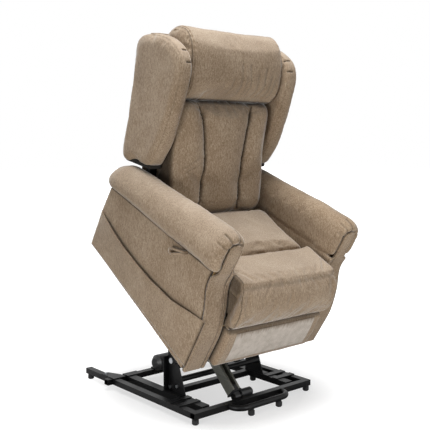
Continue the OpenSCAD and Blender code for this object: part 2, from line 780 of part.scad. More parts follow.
// The front of the arm rolls is the foremost point, the outriggers end last
nose_y = min([for (k = [0:4], p = roll_ring(1, k)) raised([p.y, p.z]).x]);
half_y = (outrigger_end + nose_y)/2;
module arm_pad(side) {
    color(fabric) in_chair() loft([for (k = [0:len(roll_stations) - 1]) roll_ring(side, k)], side > 0);
}
module left_arm_pad() { arm_pad(-1); }
module right_arm_pad() { arm_pad(1); }

inner_arm_bottom = rail_z + bracket_h + bracket_t;
module inner_arm(side) {
    y0 = front_back + facing_t + soft_gap;
    y1 = panel_d - frame_rear;
    color(fabric_dark) in_chair() across_side(side, seat_gap/2 + soft_gap, board_in - soft_gap) polygon([
        [y0, inner_arm_bottom], [y1, inner_arm_bottom], [y1, seam(y1) - soft_gap], [y0, seam(y0) - soft_gap]]);
}
module left_inner_arm() { inner_arm(-1); }
module right_inner_arm() { inner_arm(1); }

// Full length pocket on the left side: a sheet that stands out along its hem
hem_shares = [[0, 0.318], [0.1, 0.295], [0.24, 0.252], [0.42, 0.228], [0.58, 0.222], [0.75, 0.228], [0.9, 0.245], [1, 0.252]];
pocket_front = 4;
pocket_rear = 796;
pocket_bottom = 30;
pocket_out = 16;
pocket_t = 2.4;
pocket_rows = 5;
pocket_columns = 16;
module side_pocket() {
    x0 = chair_w/2 + soft_gap;
    rings = [for (k = [0:pocket_columns]) let (t = k/pocket_columns, y = pocket_front + t*(pocket_rear - pocket_front),
        top = panel_d*lookup(t, hem_shares), out = pocket_out*bump(2*t - 1, 6),
        rise = [for (i = [0:pocket_rows]) i/pocket_rows])
        concat(
            [for (r = rise) [-x0 - pocket_t - out*r, y, pocket_bottom + r*(top - pocket_bottom)]],
            [for (i = [pocket_rows:-1:0]) [-x0 - out*rise[i], y, pocket_bottom + rise[i]*(top - pocket_bottom)]])];
    color(fabric) in_chair() loft(rings, true);
}

// Cloth pull loop under the left arm roll, sewn into the seam at its root
loop_root = [219, 417];
loop_fold = [290, 374];
loop_w = 22;
loop_r = 12;
loop_t = 2.4;
module loop_outline(r, start) {
    d = (loop_fold - loop_root)/norm(loop_fold - loop_root);
    n = [-d.y, d.x];
    root = loop_root + start*d;
    translate(loop_fold) circle(r);
    polygon([root + n*(r - loop_r + 2*loop_t), loop_fold + n*r, loop_fold - n*r, root - n*(r - loop_r + 2*loop_t)]);
}
module pull_loop() {
    x0 = chair_w/2 + soft_gap;
    color(fabric_dark) in_chair() across(-x0 - loop_w, -x0) difference() {
        loop_outline(loop_r, 0);
        loop_outline(loop_r - loop_t, loop_r);
    }
}

// Seat cushion: crowned, its rear end sloped like the back
cushion_bottom = rail_z + seat_rail_h + soft_gap;
cushion_gap = 3;
fold_y = 186;
seat_half = seat_gap/2 - cushion_gap;
function box_section(w, h, crown, n) = [for (i = [0:n - 1]) let (t = 360*i/n, c = cos(t), s = sin(t), k = 0.42)
    [w*sign(c)*abs(c)^k, h*sign(s)*abs(s)^k + (s > 0 ? crown*bump(sign(c)*abs(c)^k, 2) : 0)]];
// Place along the cushion, its width and height there, all as shares
cushion_shares = [[0, 0.93, 0.7], [0.03, 0.975, 0.92], [0.12, 0.985, 1], [0.35, 0.975, 1], [0.65, 0.975, 1], [0.88, 0.985, 1], [0.97, 0.98, 0.94], [1, 0.95, 0.78]];
seat_crown = 9;
module seat_cushion() {
    h = (seat_top - cushion_bottom - seat_crown)/2;
    end = back_y - cushion_gap;
    rings = [for (s = cushion_shares) let (y = fold_y + s[0]*(end - fold_y))
        [for (p = box_section(seat_half*s[1], h*s[2], seat_crown*s[2], 24))
            [p.x, y + s[0]*tan(back_lean)*(p.y - h), cushion_bottom + h + p.y]]];
    color(fabric) in_chair() loft(rings);
}

// Knee pad: runs from the seat over the front edge down to the legrest. Its
// outline is in shares of the seat's height, the first half being its outside
knee_outline_shares = [[0.437, 0.94], [0.4, 1.002], [0.24, 1.012], [0.09, 1.02], [0.01, 1.006], [-0.045, 0.955],
    [-0.1, 0.86], [-0.138, 0.73], [-0.132, 0.61], [-0.08, 0.53], [0, 0.522], [0.012, 0.6], [0.014, 0.706], [0.048, 0.79], [0.12, 0.808],
    [0.165, 0.762], [0.2, 0.738], [0.41, 0.737], [0.437, 0.8]];
knee_outer = 10;
knee_shares = [[-1, 0.8], [-0.965, 0.93], [-0.86, 0.99], [-0.5, 1], [0, 1], [0.5, 1], [0.86, 0.99], [0.965, 0.93], [1, 0.8]];
knee_centre_share = [0.17, 0.79];
module knee_pad() {
    n = len(knee_outline_shares);
    outline = closed_curve(knee_outline_shares*seat_top, 2);
    centre = knee_centre_share*seat_top;
    rings = [for (s = knee_shares) [for (i = [0:len(outline) - 1]) let (p = outline[i], q = i <= 2*knee_outer ? centre + (p - centre)*s[1] : p)
        [s[0]*seat_half, q.x, q.y]]];
    color(fabric) in_chair() loft(rings, true);
}

// Padded valance across the rear, between the side panels
valance_h = 180;
module rear_valance() {
    half = board_in - panel_t;
    color(fabric_dark) in_chair() block([-half, panel_d - frame_rear + soft_gap, frame_bottom],
        [half, panel_d - soft_gap, frame_bottom + valance_h]);
}

// Back: steel posts and rails, webbing and cushions

post_low = -175;
post_top = 688;
module back_posts() {
    v = recline_in_back.x;
    color(powder_black) in_back() for (side = [-1, 1])
        across_side(side, post_in, post_out) difference() {
            translate([v - post_d/2, post_low]) square([post_d, post_top - post_low]);
            translate(recline_in_back) circle(pin_r + pin_fit);
        }
}

lower_rail_u = -163;
mid_rail_u = 200;
top_rail_u = 677;
lever_reach = 22;
lever_r = 8;
lever_tip = [recline_in_back.x - post_d/2 - lever_reach, lower_rail_u];
module back_rails() {
    v = recline_in_back.x;
    color(powder_black) in_back() {
        for (u = [lower_rail_u, mid_rail_u, top_rail_u])
            translate([0, v, u]) across(-post_in, post_in) tube_section(post_d, post_w, tube_wall);
        across(-lug_t/2, lug_t/2) union() {
            translate(lever_tip) circle(lever_r);
            translate(lever_tip - [0, lever_r]) square([lever_reach, 2*lever_r]);
        }
    }
}

webbing_w = 56;
webbing_t = 1.6;
webbing_count = 6;
module back_webbing() {
    v = recline_in_back.x - post_d/2 - webbing_t;
    pitch = (post_top - 2*webbing_w)/(webbing_count - 1);
    color(rubber_black) in_back() for (i = [0:webbing_count - 1])
        block([-post_out, v, i*pitch], [post_out, v + webbing_t, i*pitch + webbing_w]);
}

// Back cushion with three sewn channels; seams as shares of its half width
cushion_low = -38;
back_half = post_out - soft_gap;
seam_low_share = 0.43;
seam_top_share = 0.58;
channel_depth = 26;
edge_round = 26;
end_round = 34;
pillow_gap = 4;
rear_share = 0.55;
// Place up the cushion, its width, and how far its front stands out, as shares
back_shares = [[0, 0.9, 0.1], [0.035, 0.97, 0.62], [0.12, 1, 0.95], [0.3, 0.985, 1], [0.5, 0.98, 0.96], [0.7, 0.985, 0.96], [0.88, 1, 0.9], [0.97, 0.97, 0.7], [1, 0.93, 0.45]];
function channel_bulge(x, s) = let (a = abs(x), c = a < s ? a/s : (2*a - s - 1)/(1 - s)) sqrt(max(0, 1 - c^2))^0.9;
front_xs = [for (i = [-12:12]) i/12];
module back_cushion() {
    top = back_h - pillow_h - pillow_gap;
    rear = recline_in_back.x - post_d/2 - webbing_t - soft_gap;
    rings = [for (s = back_shares) let (u = cushion_low + s[0]*(top - cushion_low), seam_s = seam_low_share + (seam_top_share - seam_low_share)*s[0])
        concat(
            [for (x = front_xs) [x*back_half*s[1],
                channel_depth + end_round*(1 - s[2]) + edge_round*abs(x)^6 - channel_depth*s[2]*channel_bulge(x, seam_s), u]],
            [[back_half*s[1], rear*rear_share, u], [back_half*s[1]^2, rear, u],
                [-back_half*s[1]^2, rear, u], [-back_half*s[1], rear*rear_share, u]])];
    color(fabric) in_back() loft(rings, true);
}

// Head pillow: a full roll above the channels; depth and height as shares
pillow_outline_shares = [[0.12, 0.01], [-0.09, 0.12], [-0.2, 0.34], [-0.21, 0.56], [-0.13, 0.8], [0.08, 0.97], [0.39, 1],
    [0.72, 0.9], [0.92, 0.7], [1, 0.35], [0.96, 0.03], [0.55, 0]];
pillow_shares = [[-1, 0.72], [-0.975, 0.86], [-0.92, 0.95], [-0.75, 1], [-0.4, 0.99], [0, 0.985], [0.4, 0.99], [0.75, 1], [0.92, 0.95], [0.975, 0.86], [1, 0.72]];
pillow_centre_share = [0.4, 0.5];
module head_pillow() {
    rear = recline_in_back.x - post_d/2 - webbing_t - soft_gap;
    low = back_h - pillow_h;
    function at(p) = [min(p.x*back_t, rear), low + pillow_h*p.y];
    centre = at(pillow_centre_share);
    outline = closed_curve([for (p = pillow_outline_shares) at(p)], 2);
    rings = [for (s = pillow_shares) [for (p = outline) let (q = centre + (p - centre)*s[1])
        [s[0]*back_half, min(q.x, rear), q.y]]];
    color(fabric) in_back() loft(rings, true);
}

// Wings: outline as shares of the back's height, depth then height
wing_outline_shares = [[0.396, 0.238], [0.257, 0.227], [0.132, 0.216], [0.07, 0.29], [0.024, 0.378], [-0.026, 0.51],
    [-0.064, 0.64], [-0.084, 0.76], [-0.062, 0.845], [0.012, 0.905], [0.108, 0.938], [0.216, 0.946], [0.31, 0.932],
    [0.35, 0.878], [0.37, 0.703], [0.386, 0.46]];
wing_shares = [[0, 0.955], [0.07, 0.985], [0.2, 1], [0.5, 1.004], [0.8, 1], [0.93, 0.98], [1, 0.94]];
wing_centre_share = [0.162, 0.581];
wing_flare = 6;
module wing(side) {
    x0 = post_out + soft_gap;
    outline = closed_curve(wing_outline_shares*back_h, 2);
    centre = wing_centre_share*back_h;
    rings = [for (s = wing_shares) [for (p = outline) let (q = centre + (p - centre)*s[1])
        [side*(x0 + s[0]*wing_t + wing_flare*s[0]*(1 - 2*p.x/back_h)), q.x, q.y]]];
    color(fabric) in_back() loft(rings, side < 0);
}
module left_wing() { wing(-1); }
module right_wing() { wing(1); }

// Outside back: a shallow tray of board and cloth behind the posts
shell_low = -60;
shell_top = 700;
shell_d = 78;
shell_wall = 8;
shell_floor = 40;
shell_bow = 900;
module outside_back() {
    v0 = recline_in_back.x + post_d/2 + soft_gap;
    half = post_out;
    color(fabric_dark) in_back() translate([0, 0, shell_low]) linear_extrude(shell_top - shell_low) difference() {
        intersection() {
            translate([-half, v0]) square([2*half, shell_d]);
            translate([0, v0 + shell_d - shell_bow]) circle(shell_bow, $fn = 180);
        }
        translate([shell_wall - half, v0 - cut]) square([2*(half - shell_wall), shell_d - shell_floor + cut]);
    }
}

// Legrest: board with hinge arms, pad and the pale cloth on its front

legrest_low = 45;
legrest_high = 272;
board_face = 8;
legrest_board_t = 12;
hinge_plate_t = 6;
hinge_w = 24;
hinge_low = 78;
hinge_r = 2;
module legrest_board() {
    rear = board_face + legrest_board_t;
    lug_out = seat_rail_x + tube_w + lug_plate_t;
    x0 = lug_out + plate_gap;
    color(plywood) in_chair() block([-seat_half, board_face, legrest_low], [seat_half, rear, legrest_high]);
    color(powder_black) in_chair() for (side = [-1, 1]) {
        across_side(side, x0, x0 + hinge_plate_t) polygon(round_outline(
            [[rear + hinge_r, hinge_low], [rear + hinge_w - hinge_r, hinge_low], knee],
            [hinge_r, hinge_r, knee_eye_r]));
        pin_side(side, lug_out - lug_plate_t + plate_gap, x0 + hinge_plate_t/2, knee, knee_pin_r);
    }
}

pad_low = 32;
pad_high = 214;
pad_out = 46;
pad_bow = 8;
pad_edge = 4;
pad_rows = 6;
// Front of the legrest pad: a shallow bow between its two seams
function pad_face(z) = -pad_out + pad_bow*((2*z - pad_low - pad_high)/(pad_high - pad_low))^2;
pad_levels = [for (i = [0:pad_rows]) pad_low + (pad_high - pad_low)*i/pad_rows];
pad_shares = [[-1, 0.55], [-0.97, 0.85], [-0.9, 0.97], [-0.84, 1], [0, 1], [0.84, 1], [0.9, 0.97], [0.97, 0.85], [1, 0.55]];
module legrest_pad() {
    back = board_face - soft_gap;
    rings = [for (s = pad_shares) concat(
        [for (z = pad_levels) [s[0]*seat_half, back + (pad_face(z) - back)*s[1], z]],
        [[s[0]*seat_half, back, pad_high - pad_edge], [s[0]*seat_half, back, pad_low + pad_edge]])];
    color(fabric) in_chair() loft(rings);
}

patch_half = 222;
patch_low = 62;
patch_high = 206;
patch_t = 1.4;
module front_patch() {
    // Follows the pad's own flat faces between its rows
    levels = concat([patch_low], [for (z = pad_levels) if (z > patch_low && z < patch_high) z], [patch_high]);
    faces = [for (z = pad_levels) [z, pad_face(z)]];
    n = len(levels) - 1;
    front = [for (z = levels) [lookup(z, faces) - soft_gap - patch_t, z]];
    rear = [for (i = [n:-1:0]) [lookup(levels[i], faces) - soft_gap, levels[i]]];
    color(fabric_pale) in_chair() across(-patch_half, patch_half) polygon(concat(front, rear));
}

// Recline actuator, from the rear seat rail to the back's lower rail
function from_back(p) = [back_y, seat_top - back_drop] + [
    p.x*cos(back_lean) + p.y*sin(back_lean), -p.x*sin(back_lean) + p.y*cos(back_lean)];
lever_in_chair = from_back(lever_tip);
recline_dir = lever_in_chair - recline_root;
recline_len = norm(recline_dir);
recline_angle = atan2(recline_dir.y, recline_dir.x);
module on_recline() {
    in_chair() translate([0, recline_root.x, recline_root.y]) rotate([recline_angle, 0, 0]) children();
}
case_clear = 22;
recline_case_w = 40;
recline_case_h = 44;
recline_case_len = 96;
recline_motor_r = 20;
recline_motor_len = 70;
recline_rod_r = 8;
tip_past = 4;
module recline_actuator() {
    start = ear_r + case_clear;
    color(rubber_black) on_recline() {
        difference() {
            union() {
                across(-fork_half + plate_gap, fork_half - plate_gap) union() {
                    circle(eye_r);
                    translate([0, -eye_r]) square([start, 2*eye_r]);
                }
                block([-recline_case_w/2, start, -recline_case_h/2], [recline_case_w/2, recline_case_len, recline_case_h/2]);
            }
            pin_x(-recline_case_w, recline_case_w, [0, 0], pin_r + pin_fit);
            translate([0, start + cut, 0]) rotate([-90, 0, 0]) cylinder(r = recline_rod_r + rod_fit, h = recline_case_len);
        }
        translate([recline_case_w/2, start + recline_motor_r, 0]) rotate([0, 90, 0])
            cylinder(r = recline_motor_r, h = recline_motor_len);
    }
}

module recline_rod() {
    tip = recline_len - post_w;
    inside = recline_case_len - tube_w/4;
    color(zinc) on_recline() {
        translate([0, inside, 0]) rotate([-90, 0, 0]) cylinder(r = recline_rod_r, h = tip - inside);
        difference() {
            block([-lug_t/2 - fork_play - fork_cheek_t, tip - fork_cheek_t, -recline_rod_r],
                [lug_t/2 + fork_play + fork_cheek_t, recline_len + tip_past, recline_rod_r]);
            block([-lug_t/2 - fork_play, tip, -recline_rod_r - cut],
                [lug_t/2 + fork_play, recline_len + cut, recline_rod_r + cut]);
        }
    }
}

front_cross_tube();
rear_cross_tube();
mid_cross_tube();
left_outer_rail();
right_outer_rail();
inner_rails();
outriggers();
front_bumper();
base_plates();
base_feet();
base_bolts();
left_upright();
right_upright();
upright_tie();
lift_bracket();
power_pack();
power_pack_saddles();
upright_pins();
left_lift_arm();
right_lift_arm();
torque_tube();
guide_links();
lift_channel();
lift_gearmotor();
lift_rod();
left_hanger();
right_hanger();
hanger_pins();
seat_rails();
front_seat_rail();
rear_seat_rail();
seat_springs();
left_arm_frame();
right_arm_frame();
arm_brackets();
left_side_panel();
right_side_panel();
front_facings();
left_arm_pad();
right_arm_pad();
left_inner_arm();
right_inner_arm();
side_pocket();
pull_loop();
seat_cushion();
knee_pad();
rear_valance();
back_posts();
back_rails();
back_webbing();
back_cushion();
head_pillow();
left_wing();
right_wing();
outside_back();
legrest_board();
legrest_pad();
front_patch();
recline_actuator();
recline_rod();
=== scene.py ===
import bpy
import bmesh
import json
import math
import numpy as np
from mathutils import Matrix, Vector, kdtree, noise


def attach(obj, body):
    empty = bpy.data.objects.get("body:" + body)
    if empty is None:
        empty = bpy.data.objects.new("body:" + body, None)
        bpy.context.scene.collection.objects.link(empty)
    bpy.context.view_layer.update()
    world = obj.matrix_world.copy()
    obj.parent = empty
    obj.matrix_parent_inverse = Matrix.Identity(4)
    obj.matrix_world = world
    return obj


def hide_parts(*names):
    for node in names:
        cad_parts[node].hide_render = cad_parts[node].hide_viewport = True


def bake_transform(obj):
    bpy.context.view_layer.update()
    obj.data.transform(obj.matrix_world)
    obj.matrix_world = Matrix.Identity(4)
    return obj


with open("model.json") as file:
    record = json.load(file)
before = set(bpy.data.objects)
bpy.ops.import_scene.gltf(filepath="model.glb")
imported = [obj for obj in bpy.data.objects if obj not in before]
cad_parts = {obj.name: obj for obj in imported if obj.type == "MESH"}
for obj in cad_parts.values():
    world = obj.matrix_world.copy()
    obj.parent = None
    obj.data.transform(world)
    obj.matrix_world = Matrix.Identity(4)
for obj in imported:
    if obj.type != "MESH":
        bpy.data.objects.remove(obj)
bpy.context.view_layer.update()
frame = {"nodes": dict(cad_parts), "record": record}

bpy.ops.object.select_all(action="DESELECT")

# Places
# The chair's own frame: millimetres, x across, y back from the side panels'
# front bottom corner, z up. The back's frame: x, depth v, height u.
LIFT_TILT, LIFT_Y, LIFT_Z = math.radians(31.7), 6.9, 221.7
BACK_LEAN, BACK_Y, BACK_Z = math.radians(24.6), 490.0, 415.0
HALF_Y = 274.3


def in_chair(p):
    p = np.asarray(p, float).reshape(-1, 3)
    c, s = math.cos(LIFT_TILT), math.sin(LIFT_TILT)
    y = LIFT_Y - HALF_Y + p[:, 1] * c - p[:, 2] * s
    z = LIFT_Z + p[:, 1] * s + p[:, 2] * c
    return np.stack([p[:, 0], y, z], 1) * 0.001


def in_back(p):
    p = np.asarray(p, float).reshape(-1, 3)
    c, s = math.cos(BACK_LEAN), math.sin(BACK_LEAN)
    y = BACK_Y + p[:, 1] * c + p[:, 2] * s
    z = BACK_Z - p[:, 1] * s + p[:, 2] * c
    return in_chair(np.stack([p[:, 0], y, z], 1))


def chair_mm(co):
    """Row metres back to the chair's own millimetres."""
    c, s = math.cos(LIFT_TILT), math.sin(LIFT_TILT)
    y, z = co[:, 1] * 1000 + HALF_Y - LIFT_Y, co[:, 2] * 1000 - LIFT_Z
    return np.stack([co[:, 0] * 1000, y * c + z * s, -y * s + z * c], 1)


def back_mm(co):
    p = chair_mm(co)
    c, s = math.cos(BACK_LEAN), math.sin(BACK_LEAN)
    y, z = p[:, 1] - BACK_Y, p[:, 2] - BACK_Z
    return np.stack([p[:, 0], y * c - z * s, y * s + z * c], 1)


# Camera and light
def make_camera():
    turn, rise = math.radians(-40.7), math.radians(5.2)
    back = Vector((math.sin(turn) * math.cos(rise), -math.cos(turn) * math.cos(rise), math.sin(rise)))
    data = bpy.data.cameras.new("photo_camera")
    data.lens, data.sensor_width, data.sensor_fit = 62.55, 36.0, "HORIZONTAL"
    camera = bpy.data.objects.new("photo_camera", data)
    bpy.context.scene.collection.objects.link(camera)
    camera.location = (-2.1259, -2.2181 - HALF_Y * 0.001, 1.0905)
    camera.rotation_euler = back.to_track_quat("Z", "Y").to_euler()
    bpy.context.scene.camera = camera


make_camera()
bpy.context.scene.view_settings.view_transform = "Standard"


def area_light(name, place, target, size, power):
    data = bpy.data.lights.new(name, "AREA")
    data.shape, data.size, data.energy = "SQUARE", size, power
    lamp = bpy.data.objects.new(name, data)
    bpy.context.scene.collection.objects.link(lamp)
    lamp.location = place
    lamp.rotation_euler = (Vector(place) - Vector(target)).to_track_quat("Z", "Y").to_euler()


area_light("overhead_softbox", (-0.4, -0.42, 4.2), (0, 0, 0.6), 2.1, 196)
area_light("low_front_softbox", (0.3, -2.1, 0.45), (0, -0.4, 0.6), 0.8, 11.5)
area_light("left_softbox", (-2.4, -0.9, 0.45), (0, 0, 0.2), 0.85, 25)
area_light("right_softbox", (3.2, -1.2, 1.5), (0, 0, 0.7), 2.2, 2)


# Material tools
def hex_colour(text):
    """sRGB hex to linear RGBA."""
    v = [int(text[i:i + 2], 16) / 255 for i in (1, 3, 5)]
    return (*[c / 12.92 if c <= 0.04045 else ((c + 0.055) / 1.055) ** 2.4 for c in v], 1)


def add(tree, kind, inputs=None, stops=(), **settings):
    """A node with its settings; an input is a value, a socket to link from, or a node, which
    gives its first output. stops are the places and hex colours of a colour ramp."""
    made = tree.nodes.new(kind)
    for k, v in settings.items():
        setattr(made, k, v)
    for k, v in (inputs or {}).items():
        if isinstance(v, bpy.types.Node):
            v = v.outputs[0]
        if isinstance(v, bpy.types.NodeSocket):
            tree.links.new(v, made.inputs[k])
        else:
            made.inputs[k].default_value = v
    if stops:
        marks = made.color_ramp.elements
        while len(marks) < len(stops):
            marks.new(0.5)
        for mark, (place, colour) in zip(marks, stops):
            mark.position, mark.color = place, hex_colour(colour)
    return made


def new_material(name):
    """A bare material, its node tree, and the place on the piece that patterns follow."""
    material = bpy.data.materials.new(name)
    material.use_nodes = True
    tree = material.node_tree
    tree.nodes.clear()
    return material, tree, add(tree, "ShaderNodeTexCoord").outputs["Object"]


def finish_surface(material, tree, inputs, relief=None, strength=0.0, distance=0.0):
    """Ends a material in one shader with these inputs; relief is a height pattern."""
    if relief:
        inputs["Normal"] = add(tree, "ShaderNodeBump", {"Height": relief, "Strength": strength,
            "Distance": distance})
    shader = add(tree, "ShaderNodeBsdfPrincipled", inputs)
    add(tree, "ShaderNodeOutputMaterial", {"Surface": shader})
    return material


def marked(tree, face, mark, colour, most=None):
    """Takes the face towards a colour where the pieces carry a mark, one value a vertex;
    most is the share of the colour where the mark is full."""
    share = add(tree, "ShaderNodeAttribute", attribute_name=mark, attribute_type="GEOMETRY").outputs["Fac"]
    if most:
        share = add(tree, "ShaderNodeMath", {0: share, 1: most}, operation="MULTIPLY")
    return add(tree, "ShaderNodeMix", {"Factor": share, 6: face, 7: hex_colour(colour)},
        data_type="RGBA").outputs[2]


def suede_microfibre(name, dark, mid, light, deep):
    """Brushed polyester microfibre, sueded: streaks of nap lie crossed over a fine grain,
    under a soft sheen; up-facing cloth gets a painted highlight, and painted shade in the deep colour. The
    streaks are 4 mm wide and 16 mm long and the grains 2 and
    5 mm, coarser than the real ones, so that they show."""
    material, tree, at = new_material(name)
    patches = add(tree, "ShaderNodeTexNoise", {"Vector": at, "Scale": 9.0, "Detail": 3.0, "Roughness": 0.6,
        "Distortion": 0.5})
    small = add(tree, "ShaderNodeTexNoise", {"Vector": at, "Scale": 210.0, "Detail": 4.0, "Roughness": 0.8,
        "Distortion": 1.0})
    streaks = []
    for turn in ((0.55, 0.5, 0.3), (-0.6, -0.5, 0.2)):
        lie = add(tree, "ShaderNodeMapping", {"Vector": at, "Rotation": turn,
            "Scale": (270.0, 270.0, 60.0)})
        streak = add(tree, "ShaderNodeTexNoise", {"Vector": lie, "Scale": 1.0,
            "Detail": 3.0, "Roughness": 0.75})
        streaks.append(streak)
    crossed = add(tree, "ShaderNodeMath", {0: streaks[0], 1: streaks[1]}, operation="MAXIMUM")
    grain = add(tree, "ShaderNodeTexNoise", {"Vector": at, "Scale": 420.0, "Detail": 2.0, "Roughness": 0.8})
    brushed = add(tree, "ShaderNodeMix", {"Factor": 0.62, "A": small, "B": crossed})
    clouded = add(tree, "ShaderNodeMix", {"Factor": 0.85, "A": patches, "B": brushed})
    worked = add(tree, "ShaderNodeMix", {"Factor": 0.14, "A": clouded, "B": grain})
    nap = add(tree, "ShaderNodeValToRGB", {"Fac": worked}, [(0.42, dark), (0.525, mid), (0.635, light)])
    # Painted light: the nap is painted paler where cloth faces up, a painted highlight, and painted shade
    # darkens it where the pieces carry the seam mark
    nap = marked(tree, marked(tree, nap, "painted_highlight", "#D2C9BE", 0.17), "seam", deep)
    height = add(tree, "ShaderNodeMix", {"Factor": 0.5, "A": brushed, "B": grain})
    return finish_surface(material, tree, {"Base Color": nap, "Roughness": 0.92,
        "Specular IOR Level": 0.18, "Sheen Weight": 0.66, "Sheen Roughness": 0.36,
        "Sheen Tint": hex_colour("#FFFEFC")}, height, 0.45, 0.002)


def plain_cloth(name, colour, shade_colour, pitch):
    """Plain woven polyester cloth: a fine basket of threads, a matt even face."""
    material, tree, at = new_material(name)
    warp, weft = [add(tree, "ShaderNodeTexWave", {"Vector": at, "Scale": 314.0 / pitch,
        "Distortion": 0.6, "Detail": 1.0}, bands_direction=axis) for axis in "XZ"]
    mottle = add(tree, "ShaderNodeTexNoise", {"Vector": at, "Scale": 34.0, "Detail": 4.0,
        "Roughness": 0.65})
    both = add(tree, "ShaderNodeMix", {"Factor": 0.5, "A": warp.outputs["Fac"], "B": weft.outputs["Fac"]})
    mottled = add(tree, "ShaderNodeMix", {"Factor": 0.75, "A": both, "B": mottle})
    woven = add(tree, "ShaderNodeValToRGB", {"Fac": mottled}, [(0.38, shade_colour), (0.6, colour)])
    # Painted shade darkens the cloth where the pieces carry the seam mark
    face = marked(tree, woven, "seam", "#6B5B4A")
    return finish_surface(material, tree, {"Base Color": face, "Roughness": 0.88,
        "Specular IOR Level": 0.25}, both, 0.3, 0.0006)


def powder_coat(name, colour, worn):
    """Polyester powder coat on steel tube: satin, with an orange peel of 1 to 2 mm
    and dust that greys it in soft patches."""
    material, tree, at = new_material(name)
    peel = add(tree, "ShaderNodeTexNoise", {"Vector": at, "Scale": 620.0, "Detail": 2.0, "Roughness": 0.5})
    dust = add(tree, "ShaderNodeTexNoise", {"Vector": at, "Scale": 14.0, "Detail": 5.0, "Roughness": 0.65})
    face = add(tree, "ShaderNodeValToRGB", {"Fac": dust}, [(0.35, colour), (0.8, worn)])
    gloss = add(tree, "ShaderNodeMapRange", {"Value": dust, "From Min": 0.3,
        "From Max": 0.75, "To Min": 0.34, "To Max": 0.5})
    return finish_surface(material, tree, {"Base Color": face, "Roughness": gloss,
        "Specular IOR Level": 0.24}, peel, 0.12, 0.0004)


def zinc_plate(name):
    """Bright zinc plated steel: a bluish silver with a faint cloudy passivation."""
    material, tree, at = new_material(name)
    cloud = add(tree, "ShaderNodeTexNoise", {"Vector": at, "Scale": 90.0, "Detail": 3.0})
    face = add(tree, "ShaderNodeValToRGB", {"Fac": cloud}, [(0.3, "#A9ADB0"), (0.7, "#C9CCD0")])
    rough = add(tree, "ShaderNodeMapRange", {"Value": cloud, "From Min": 0.3,
        "From Max": 0.7, "To Min": 0.24, "To Max": 0.4})
    return finish_surface(material, tree, {"Base Color": face, "Roughness": rough, "Metallic": 1.0})


def grey_extrusion(name):
    """Anodised aluminium extrusion: grey, with die lines along its length."""
    material, tree, at = new_material(name)
    # Turned so that the lines run along the actuator, which leans 44 degrees
    lie = add(tree, "ShaderNodeMapping", {"Vector": at, "Rotation": (math.radians(-44.3), 0, 0),
        "Scale": (900.0, 6.0, 900.0)})
    lines = add(tree, "ShaderNodeTexNoise", {"Vector": lie, "Scale": 1.0, "Detail": 2.0})
    face = add(tree, "ShaderNodeValToRGB", {"Fac": lines}, [(0.3, "#83837C"), (0.7, "#A5A59C")])
    return finish_surface(material, tree, {"Base Color": face, "Roughness": 0.36, "Metallic": 0.85},
        lines, 0.1, 0.0003)


def moulded_black(name, colour, rough, grit, depth):
    """Moulded black plastic or rubber: an even spark texture."""
    material, tree, at = new_material(name)
    spark = add(tree, "ShaderNodeTexNoise", {"Vector": at, "Scale": grit, "Detail": 2.0, "Roughness": 0.7})
    face = add(tree, "ShaderNodeValToRGB", {"Fac": spark}, [(0.3, colour), (0.8, "#2A2A2B")])
    return finish_surface(material, tree, {"Base Color": face, "Roughness": rough}, spark, 0.3, depth)


def birch_plywood(name):
    """Bare birch plywood: pale, with long grain and a few darker streaks."""
    material, tree, at = new_material(name)
    # Turned so that the grain runs along the tipped chair
    lie = add(tree, "ShaderNodeMapping", {"Vector": at, "Rotation": (-LIFT_TILT, 0, 0),
        "Scale": (30.0, 4.0, 90.0)})
    grain = add(tree, "ShaderNodeTexNoise", {"Vector": lie, "Scale": 2.0, "Detail": 6.0,
        "Roughness": 0.6, "Distortion": 0.6})
    face = add(tree, "ShaderNodeValToRGB", {"Fac": grain},
        [(0.3, "#A98558"), (0.55, "#CDAE80"), (0.75, "#DCC39A")])
    return finish_surface(material, tree, {"Base Color": face, "Roughness": 0.62}, grain, 0.1, 0.0005)


# The last colour is painted shade, for seams, folds and places where pieces meet
MICROFIBRE = suede_microfibre("taupe_suede_microfibre", "#705D47", "#917D67", "#B3A48F", "#1D140C")
LINING = plain_cloth("black_lining_cloth", "#2A2724", "#1B1917", 1.2)
PATCH = plain_cloth("pale_patch_cloth", "#C0B7AD", "#AAA095", 1.4)
FRAME_BLACK = powder_coat("satin_black_powder_coat", "#050506", "#0D0D0E")
ZINC = zinc_plate("bright_zinc_plate")
ALLOY = grey_extrusion("grey_anodised_extrusion")
RUBBER = moulded_black("moulded_rubber", "#101010", 0.8, 900.0, 0.0003)
PLASTIC = moulded_black("moulded_black_plastic", "#141416", 0.42, 1400.0, 0.0002)
PLYWOOD = birch_plywood("birch_plywood")

SLOT_MATERIAL = {"powder_black": FRAME_BLACK, "rubber": RUBBER, "zinc": ZINC, "alloy": ALLOY,
    "black_plastic": PLASTIC, "plywood": PLYWOOD, "fabric": MICROFIBRE, "patch_cloth": PATCH,
    "backing": LINING}
for sub in frame["record"]["subparts"]:
    mesh = frame["nodes"][sub["node"]].data
    mesh.materials.clear()
    mesh.materials.append(SLOT_MATERIAL[sub["material_slot"]])


# Soft piece tools
def spline_points(points, steps, closed=False):
    """Catmull-Rom through the points."""
    p = np.asarray(points, float)
    n = len(p)
    out = []
    for i in range(n if closed else n - 1):
        if closed:
            a, b, c, d = p[(i - 1) % n], p[i], p[(i + 1) % n], p[(i + 2) % n]
        else:
            a, b, c, d = p[max(i - 1, 0)], p[i], p[i + 1], p[min(i + 2, n - 1)]
        for j in range(steps):
            t = j / steps
            out.append(0.5 * (2 * b + (c - a) * t + (2 * a - 5 * b + 4 * c - d) * t * t
                + (3 * b - a - 3 * c + d) * t ** 3))
    if not closed:
        out.append(p[-1])
    return np.array(out)


